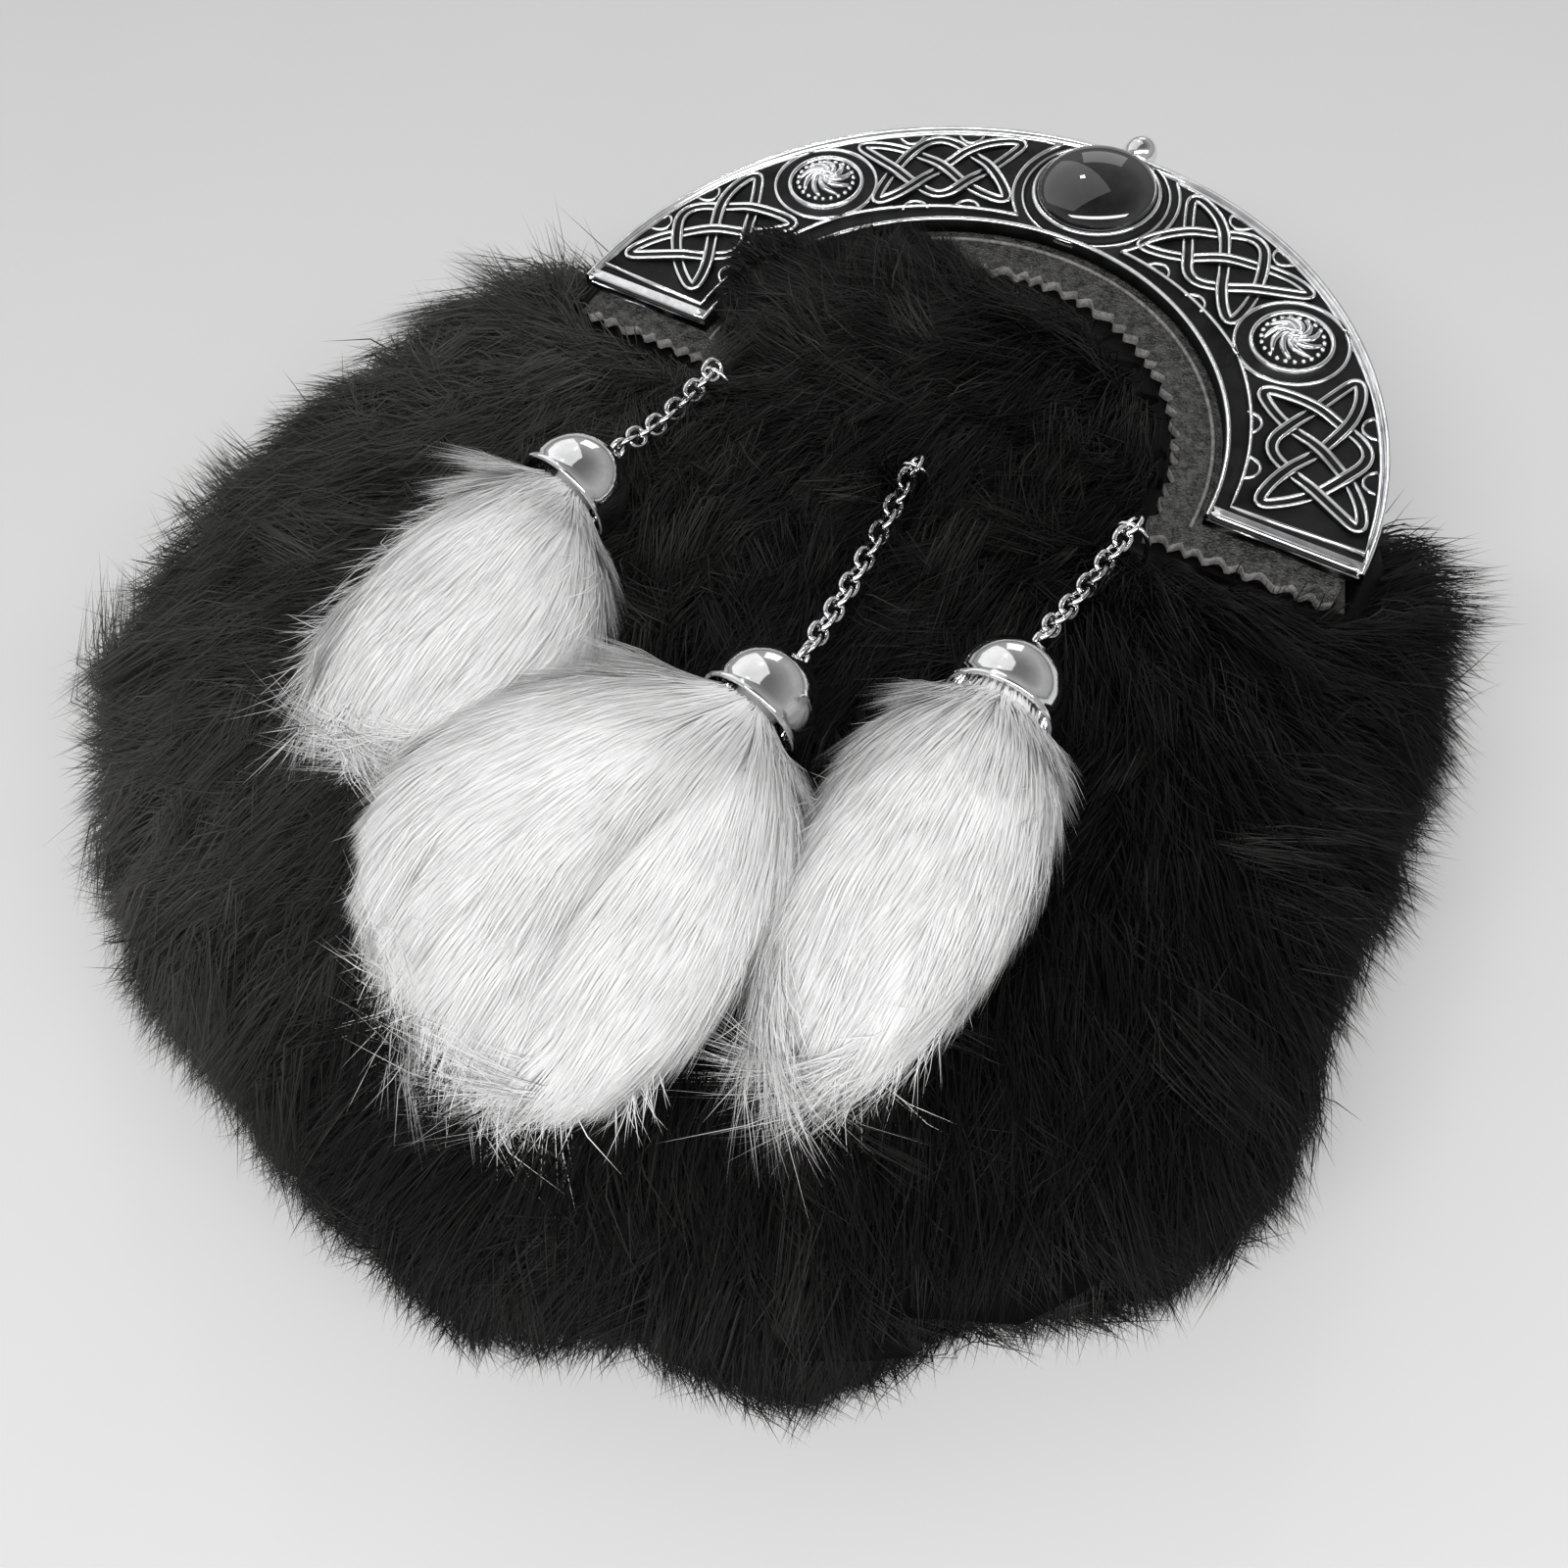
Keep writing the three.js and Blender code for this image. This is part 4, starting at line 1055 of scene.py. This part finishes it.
@dataclass
class CantleLeather:
    """The leather half ring under the metal, with its inner edge and ends pinked."""

    outer: float = 72.5 * MM
    inner: float = 40.0 * MM
    end: float = -5.2 * MM
    bottom: float = 35.0 * MM
    top: float = 37.0 * MM
    pitch: float = 3.7 * MM
    depth: float = 1.5 * MM
    along: int = 300
    across: int = 42

    def _tooth(self, distance: np.ndarray) -> np.ndarray:
        """How deep the pinked edge is cut at a distance along it, as rounded points."""
        phase = distance / self.pitch
        wander = 0.18 * np.sin(phase * 0.9) + 0.12 * np.sin(phase * 2.3 + 1.0)
        wave = 0.5 + 0.5 * np.cos(2.0 * math.pi * (phase + wander))
        return self.depth * wave**0.8

    def build(self) -> None:
        """Builds the pinked sheet and the bead pressed into it."""
        bm = bmesh.new()
        grid = bmesh.ops.create_grid(bm, x_segments=self.along, y_segments=self.across, size=0.5)
        for vert in grid["verts"]:
            u, v = 2.0 * vert.co.x, vert.co.y + 0.5
            vert.co = self._point(u, v)
        outline = [e for e in bm.edges if e.is_boundary]
        raised = bmesh.ops.extrude_edge_only(bm, edges=outline)
        edge = [v for v in raised["geom"] if isinstance(v, bmesh.types.BMVert)]
        for vert in edge:
            vert.co.z -= self.top - self.bottom
        cut = [f for f in raised["geom"] if isinstance(f, bmesh.types.BMFace)]
        for face in cut:
            face.material_index = 1
        bmesh.ops.recalc_face_normals(bm, faces=bm.faces)
        top_face = max(bm.faces, key=lambda f: f.calc_center_median().z)
        if top_face.normal.z < 0.0:
            bmesh.ops.reverse_faces(bm, faces=bm.faces)
        sheet = from_mesh("pinked_leather", bm, [Finish.MOUNT, Finish.CUT_EDGE])
        keep(sheet, "mount_leather", "cantle_leather")
        self._bead()

    def _point(self, u: float, v: float) -> Vector:
        """A point of the sheet's top: u from -1 to 1 along the ring, v from 0 inside to 1 outside."""
        run = u * self.inner * (0.5 * math.pi + 0.13)
        inner = self.inner + float(self._tooth(np.array(run)))
        radius = inner + v * (self.outer - inner)
        level = self.end + float(self._tooth(np.array(radius + 0.4 * self.pitch)))
        reach = math.acos(level / radius)
        a = u * reach
        sag = -0.5 * MM * (1.0 - v) ** 3
        return Vector((radius * math.sin(a), ARCH.y + radius * math.cos(a), self.top + sag))

    def _bead(self) -> None:
        """Presses a fine ridge into the leather beside the metal."""
        radius = ARCH.inner - 1.5 * MM
        bearings = np.linspace(-90.5, 90.5, 120)
        path = np.array([ARCH.at(radius, b, self.top - 0.02 * MM) for b in bearings])
        bead = Shell()
        half = 0.42 * MM
        profile = [(-half, -0.3 * MM), (-0.6 * half, 0.12 * MM), (0.0, 0.2 * MM), (0.6 * half, 0.12 * MM)]
        profile.append((half, -0.3 * MM))
        bead.swept(path, profile, False)
        keep(bead.finish("leather_bead", [Finish.CUT_EDGE]), "mount_leather")


# ------------------------------------------------------------------ bag


@dataclass
class Bag:
    """The leather bag behind the fur: back panel, gusset and belt loops with their stitching."""

    edge: float = 0.6 * MM
    stitch: float = 2.6 * MM
    gap: float = 1.2 * MM

    def build(self) -> None:
        """Softens each leather part's edges and stitches the loops."""
        for node in ("back_panel", "gusset", "belt_loop_left", "belt_loop_right"):
            bm = merged_copy(node)
            bmesh.ops.dissolve_limit(bm, angle_limit=math.radians(2.0), verts=bm.verts, edges=bm.edges)
            sharp = [e for e in bm.edges if e.is_manifold and e.calc_face_angle(0.0) > math.radians(35.0)]
            bmesh.ops.bevel(
                bm, geom=sharp, offset=self.edge, offset_type="OFFSET", segments=3, profile=0.5, affect="EDGES",
                clamp_overlap=True, material=-1,
            )
            bmesh.ops.triangulate(bm, faces=[f for f in bm.faces if len(f.verts) > 4])
            bmesh.ops.recalc_face_normals(bm, faces=bm.faces)
            piece = from_mesh(f"{node}_leather", bm, [Finish.BAG])
            piece.data.set_sharp_from_angle(angle=math.radians(50.0))
            keep(piece, "bag_leather", node)
        self._stitching()

    def _stitching(self) -> None:
        """Sews both sewn-down ends of each belt loop."""
        thread = Shell()
        for node in ("belt_loop_left", "belt_loop_right"):
            low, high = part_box(node)
            for y in (low.y + 3.0 * MM, high.y - 4.0 * MM):
                count = int((high.x - low.x - 4.0 * MM) / (self.stitch + self.gap))
                for k in range(count):
                    x = low.x + 2.6 * MM + k * (self.stitch + self.gap)
                    z = max(0.0, (y - 70.0 * MM) * 0.22) - 2.42 * MM
                    z = max(z, 0.25 * MM) if y > 100 * MM else 0.32 * MM
                    steps = np.linspace(0.0, self.stitch, 5)
                    path = np.column_stack([x + steps, np.full(5, y), np.full(5, z)])
                    thread.swept(path, oval(0.3 * MM, 0.22 * MM, 6), False)
        keep(thread.finish("loop_stitching", [Finish.CUT_EDGE]), "bag_leather")


# ------------------------------------------------------------------ drops


@dataclass
class Drop:
    """One chain, its cap and its white fur tassel."""

    name: str
    cap: Vector
    tip: Vector
    hairs: int
    seed: int
    long: float
    fan: float
    crease: tuple[tuple[float, float], ...] = ()
    cap_size: float = 8.4 * MM
    skirt: float = 3.4 * MM
    wire: float = 0.43 * MM
    drawn: float = 0.9
    swell: float = 1.0
    strays: int = 1500
    crease_depth: float = 4.2 * MM
    crease_half: float = 2.6 * MM

    def build(self) -> None:
        """Builds the chain, its staple, the cap and the tassel."""
        low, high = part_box(f"tassel_cap_{self.name}")
        self.centre = Vector((self.cap.x, self.cap.y, (low.z + high.z) / 2))
        self.heading = Vector((self.tip.x - self.cap.x, self.tip.y - self.cap.y, 0.0)).normalized()
        self._chain()
        self._cap()
        self._tassel()
        self._strays()

    def _chain(self) -> None:
        """Bends every link from round wire, each in the place of its frame node."""
        nodes = sorted(n for n in FRAME_NODES if n.startswith(f"{self.name}_link_"))
        chain = Shell()
        for node in nodes:
            points = np.array([v.co for v in bpy.data.objects[node].data.vertices])
            middle = points.mean(axis=0)
            _, _, axes = np.linalg.svd(points - middle, full_matrices=False)
            spans = np.ptp((points - middle) @ axes.T, axis=0) / 2
            self._link(chain, middle, axes, spans)
        keep(chain.finish(f"{self.name}_chain", [Finish.CHROME]), "chain_metal", *nodes)
        staple = f"chain_staple_{self.name}"
        wire = from_mesh(f"{staple}_wire", merged_copy(staple), [Finish.CHROME])
        keep(wire, "chain_metal", staple)

    def _link(self, chain: Shell, middle: np.ndarray, axes: np.ndarray, spans: np.ndarray) -> None:
        """Sweeps one stretched ring of wire."""
        count = 28
        a = 2.0 * math.pi * np.arange(count) / count
        radius = spans[1] - self.wire
        stretch = spans[0] - spans[1]
        along = radius * np.cos(a) + stretch * np.tanh(3.0 * np.cos(a))
        across = radius * np.sin(a)
        path = middle + along[:, None] * axes[0] + across[:, None] * axes[1]
        chain.swept(path, oval(self.wire, self.wire, 10), True, axes[2])

    def _cap(self) -> None:
        """Spins the bell cap and bends the eye on its crown."""
        size, skirt, wall = self.cap_size, self.skirt, 0.9 * MM
        dome = []
        for i in range(17):
            a = math.radians(90.0 * i / 16)
            dome.append((size * math.sin(a), size * math.cos(a)))
        outside = dome + [(size, -0.4 * skirt), (size + 0.05 * MM, -0.7 * skirt), (size + 0.25 * MM, -0.8 * skirt)]
        outside += [(size + 0.3 * MM, -0.92 * skirt), (size + 0.15 * MM, -skirt), (size - 0.4 * MM, -skirt)]
        inside = [(size - wall, -0.8 * skirt), (size - wall, 0.0), (0.6 * (size - wall), 0.75 * (size - wall))]
        inside.append((0.0, size - wall))
        back = -self.heading
        side = back.cross(UP).normalized()
        turn = Matrix((side, side.cross(back) * -1.0, back)).transposed().to_4x4()
        place = Matrix.Translation(self.centre) @ turn
        cap = Shell()
        cap.spun(outside + inside, place, 64)
        eye = self.centre + back * (size + 1.1 * MM)
        a = 2.0 * math.pi * np.arange(24) / 24
        ring = np.array(eye) + 1.6 * MM * (np.cos(a)[:, None] * np.array(back) + np.sin(a)[:, None] * np.array(UP))
        cap.swept(ring, oval(0.5 * MM, 0.5 * MM, 10), True, side)
        keep(cap.finish(f"cap_bell_{self.name}", [Finish.CHROME]), "cap_metal", f"tassel_cap_{self.name}")

    def _tassel(self) -> None:
        """Grows the tassel's white hair from the cap's mouth to the tip."""
        node = f"tassel_{self.name}"
        rng = np.random.default_rng(self.seed)
        skin = self._form(node)
        roots = scatter(skin, self.hairs // (1), rng, self._grows)
        roots.points[:, 2] -= self._crease(roots.points)
        for vert in skin.verts:
            vert.co -= vert.normal * 2.6 * MM
        tops = np.array([v.co for v in skin.verts])
        nearby = [self._crease(tops + np.array([shift * MM, 0.0, 0.0])) for shift in (-3.0, 0.0, 3.0)]
        for vert, drop in zip(skin.verts, np.maximum.reduce(nearby)):
            vert.co.z -= drop
        under_fur = np.full(len(skin.verts), 0.1)
        keep(tone(from_mesh(f"{node}_skin", skin, [Finish.WHITE_FUR]), under_fur), "white_fur", node)
        offset = roots.points - np.array(self.centre)
        share = offset @ np.array(self.heading) / ((self.tip - self.cap).length * self.drawn)
        away = unit(offset + 0.001 * MM)
        spread = (1.0 - smoothstep(0.1, self.fan, share))[:, None]
        comb = unit(away * spread * 0.8 + np.array(self.heading) * (1.0 - 0.8 * spread) + np.array([0.0, 0.0, -0.08]))
        reach = 0.85 + 0.2 * smoothstep(0.7, 1.0, share)
        depth = 1.8 * MM + 1.8 * MM * smoothstep(0.75, 1.0, share) - 1.9 * MM * smoothstep(0.13, 0.05, share)
        coat = Coat(
            name=f"{node}_coat", finish=Finish.WHITE_FUR, length=self.long, lean=8.0, settle=-2.0, width=0.22 * MM,
            lock=5.0 * MM, gather=0.2, seed=self.seed + 1, spread=0.04, roll=0.2, shade=(0.4, 1.0), soft=0.75,
        )
        keep(coat.grow(roots, comb, reach, depth, self._tame, np.zeros(len(share))), "white_fur", node)

    def _form(self, node: str) -> bmesh.types.BMesh:
        """The tassel's outer form, drawn up and swelled a little, with its outline measured."""
        skin = merged_copy(node)
        bmesh.ops.subdivide_edges(skin, edges=skin.edges, cuts=1, use_grid_fill=True, smooth=0.6)
        side = UP.cross(self.heading)
        for vert in skin.verts:
            offset = vert.co - self.centre
            along, across = offset.dot(self.heading), offset.dot(side)
            ease = float(smoothstep(self.skirt, 6.0 * self.skirt, np.array(along)))
            vert.co += self.heading * (self.drawn - 1.0) * max(along - self.skirt, 0.0)
            vert.co += side * (self.swell - 1.0) * across * ease
        bmesh.ops.recalc_face_normals(skin, faces=skin.faces)
        skin.normal_update()
        offset = np.array([v.co for v in skin.verts]) - np.array(self.centre)
        along, across = offset @ np.array(self.heading), offset @ np.array(side)
        self.stations = np.arange(0.0, 85.0, 3.0) * MM
        near = [np.abs(along - station) < 4 * MM for station in self.stations]
        self.widths = [[max(way * across[pick], default=0.0) for pick in near] for way in (1, -1)]
        self.widths = np.maximum(self.widths, 0.0)
        return skin

    def _tame(self, strands: Strands, rng: np.random.Generator) -> Strands:
        """Trims the hair to the form's outline and the fringe to a ragged line at its tip."""
        count = len(strands.tip)
        full = (self.tip - self.cap).length * self.drawn
        edge = full - 4.5 * MM + np.minimum(rng.exponential(2.2 * MM, count), 7 * MM)
        heading, centre = np.array(self.heading), np.array(self.centre)
        start, end = (strands.base - centre) @ heading, (strands.tip - centre) @ heading
        factor = np.clip((edge - start) / np.maximum(end - start, 0.1 * MM), 0.3, 1.0)
        strands.shorten(np.where(end > edge, factor, 1.0))
        side = np.array(UP.cross(self.heading))
        margin = 0.6 * MM + np.minimum(rng.exponential(0.9 * MM, count), 3.5 * MM)
        for _ in range(6):
            offset = strands.tip - centre
            along, across = offset @ heading, offset @ side
            right, left = (np.interp(along, self.stations, width) for width in self.widths)
            strands.shorten(np.where((across > right + margin) | (across < -left - margin), 0.82, 1.0))
        return strands

    def _grows(self, middles: np.ndarray, flats: np.ndarray) -> np.ndarray:
        """Hair grows everywhere beyond the cap's mouth."""
        along = (middles - np.array(self.centre)) @ np.array(self.heading)
        return (along > 0.9 * self.skirt).astype(float) * (0.35 + 0.65 * (flats[:, 2] > -0.3))

    def _crease(self, points: np.ndarray) -> np.ndarray:
        """How deep the fur parts along the tassel's lengthwise crease."""
        if not self.crease:
            return np.zeros(len(points))
        stops = np.array(self.crease) * MM
        y = points[:, 1]
        line = np.interp(-y, -stops[:, 1], stops[:, 0])
        ease = smoothstep(stops[0, 1], stops[0, 1] - 10 * MM, y) * smoothstep(stops[-1, 1] - 14 * MM, stops[-1, 1], y)
        trough = self.crease_depth * np.exp(-(((points[:, 0] - line) / self.crease_half) ** 2))
        return trough * ease * (points[:, 2] > self.centre.z)

    def _strays(self) -> None:
        """Adds the long loose hairs that stand out round the tassel's sides and fringe."""
        node = f"tassel_{self.name}"
        rng = np.random.default_rng(self.seed + 7)
        skin = self._form(node)
        roots = scatter(skin, self.strays, rng, self._strays_grow)
        skin.free()
        offset = roots.points - np.array(self.centre)
        share = (offset @ np.array(self.heading)) / (self.tip - self.cap).length
        away = unit(offset)
        comb = unit(away * 0.5 + np.array(self.heading))
        coat = Coat(
            name=f"{node}_strays", finish=Finish.WHITE_FUR, length=15.5 * MM, lean=11.0, settle=3.0, width=0.15 * MM,
            lock=9.0 * MM, gather=0.1, seed=self.seed + 8, spread=0.2, roll=0.6, shade=(0.6, 1.0), soft=0.6,
        )
        reach = 0.55 + 0.55 * smoothstep(0.6, 1.0, share)
        depth = np.full(len(share), 0.5 * MM)
        loose = coat.grow(roots, comb, reach, depth, lambda strands, chance: strands, np.zeros(len(share)))
        keep(loose, "white_fur", node)

    def _strays_grow(self, middles: np.ndarray, flats: np.ndarray) -> np.ndarray:
        """Loose hairs stand at the sides and the fringe."""
        share = ((middles - np.array(self.centre)) @ np.array(self.heading)) / (self.tip - self.cap).length
        sides = (share > 0.15) & (flats[:, 2] < 0.75) & (flats[:, 2] > -0.5)
        return sides * (0.25 + 2.6 * smoothstep(0.6, 0.95, share))


MIDDLE_CREASE = ((13.0, -2.0), (7.0, -12.0), (4.9, -22.0), (5.2, -30.0), (6.2, -38.0), (9.5, -50.0))


def plan(x: float, y: float) -> Vector:
    """A place on the plan, from millimetres."""
    return Vector((x, y, 0)) * MM


def drops() -> list[Drop]:
    """The three drops, left to right."""
    slim = {"hairs": 30000, "fan": 0.55}
    wide = {"hairs": 50000, "fan": 0.75, "crease": MIDDLE_CREASE}
    return [
        Drop("left", plan(-39.3, 25.6), plan(-50, -36), seed=101, long=13 * MM, drawn=0.87, swell=1.2, **slim),
        Drop("middle", plan(7.8, 5.1), plan(-3, -66.5), seed=201, long=15 * MM, drawn=0.93, swell=1.1, **wide),
        Drop("right", plan(38, 23), plan(39, -42.5), seed=301, long=14 * MM, drawn=0.95, **slim),
    ]


# ------------------------------------------------------------------ stage


@dataclass(frozen=True)
class Panel:
    """A rectangular soft light: sides in metres, power in watts, and the turn of its long side if it faces down."""

    name: str
    place: tuple[float, float, float]
    width: float
    height: float
    power: float
    across: float | None = None


LIGHTS = (
    Panel("window", (-0.95, 0.40, 1.10), 2.0, 2.0, 8.0),
    Panel("tube", (0.34, -0.36, 0.92), 2.1, 0.24, 17.5, math.atan2(0.51, 0.86)),
    Panel("lamp", (-0.36, 0.66, 0.74), 0.05, 0.05, 0.4),
    Panel("pane", (-0.32, 1.15, 0.42), 0.42, 0.42, 0.5),
)
ROOM_TONES = ((0.0, 0.12), (0.06, 0.20), (0.35, 0.24), (0.7, 0.14), (1.0, 0.06))
ROOM_STRENGTH = 1.7


@dataclass
class Stage:
    """Floor, camera and lights."""

    target: Vector = field(default_factory=lambda: Vector((13.5, 0.0, 40.0)) * MM)
    azimuth: float = 37.93
    elevation: float = 61.71
    roll: float = -8.25
    distance: float = 208.6 * MM
    lens: float = 32.0
    floor_span: float = 4.0

    def build(self) -> None:
        """Builds the stage."""
        self._camera()
        self._floor()
        self._lights()

    def _camera(self) -> None:
        """Sets the camera where the viewer stands."""
        a, e = math.radians(self.azimuth), math.radians(self.elevation)
        back = Vector((math.sin(a) * math.cos(e), -math.cos(a) * math.cos(e), math.sin(e)))
        right = (-back).cross(UP).normalized()
        up = right.cross(-back)
        r = math.radians(self.roll)
        right, up = math.cos(r) * right + math.sin(r) * up, -math.sin(r) * right + math.cos(r) * up
        data = bpy.data.cameras.new("camera")
        data.lens = self.lens
        data.sensor_width = 36.0
        data.clip_start = 0.01
        camera = bpy.data.objects.new("camera", data)
        bpy.context.scene.collection.objects.link(camera)
        turn = Matrix((right, up, back)).transposed().to_4x4()
        camera.matrix_world = Matrix.Translation(self.target + back * self.distance) @ turn
        bpy.context.scene.camera = camera

    def _floor(self) -> None:
        """Lays the floor."""
        bm = bmesh.new()
        bmesh.ops.create_grid(bm, x_segments=8, y_segments=8, size=self.floor_span / 2)
        bmesh.ops.translate(bm, verts=bm.verts, vec=Vector((0.0, 0.0, -0.2 * MM)))
        from_mesh("floor", bm, [Finish.FLOOR])

    def _lights(self) -> None:
        """Hangs the soft lights."""
        for light in LIGHTS:
            self._panel(light)
        world = bpy.data.worlds.new("room")
        world.use_nodes = True
        tree = world.node_tree
        place = tree.nodes.new("ShaderNodeTexCoord")
        split = tree.nodes.new("ShaderNodeSeparateXYZ")
        ramp = tree.nodes.new("ShaderNodeValToRGB")
        fill_ramp(ramp.color_ramp.elements, [(height, (grey, grey, grey)) for height, grey in ROOM_TONES])
        tree.links.new(place.outputs["Generated"], split.inputs["Vector"])
        tree.links.new(split.outputs["Z"], ramp.inputs["Fac"])
        tree.links.new(ramp.outputs["Color"], tree.nodes["Background"].inputs["Color"])
        tree.nodes["Background"].inputs["Strength"].default_value = ROOM_STRENGTH
        bpy.context.scene.world = world
        view = bpy.context.scene.view_settings
        view.view_transform = "Standard"
        view.look = "None"

    def _panel(self, panel: Panel) -> None:
        """Hangs one rectangular soft light, facing the pouch or straight down."""
        data = bpy.data.lights.new(panel.name, "AREA")
        data.shape = "RECTANGLE"
        data.size = panel.width
        data.size_y = panel.height
        data.energy = panel.power
        light = bpy.data.objects.new(panel.name, data)
        bpy.context.scene.collection.objects.link(light)
        place = Vector(panel.place)
        turn = (self.target - place).to_track_quat("-Z", "Y").to_matrix().to_4x4()
        if panel.across is not None:
            turn = Matrix.Rotation(panel.across, 4, "Z")
        light.matrix_world = Matrix.Translation(place) @ turn


def main() -> None:
    """Builds every sub-assembly in order."""
    logging.basicConfig(level=logging.INFO, format="%(name)s %(message)s")
    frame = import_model()
    FRAME_NODES.extend(frame["nodes"])
    Stage().build()
    Cantle().build()
    CantleLeather().build()
    Bag().build()
    FurFront().build()
    for drop in drops():
        drop.build()


if __name__ == "__main__":
    main()
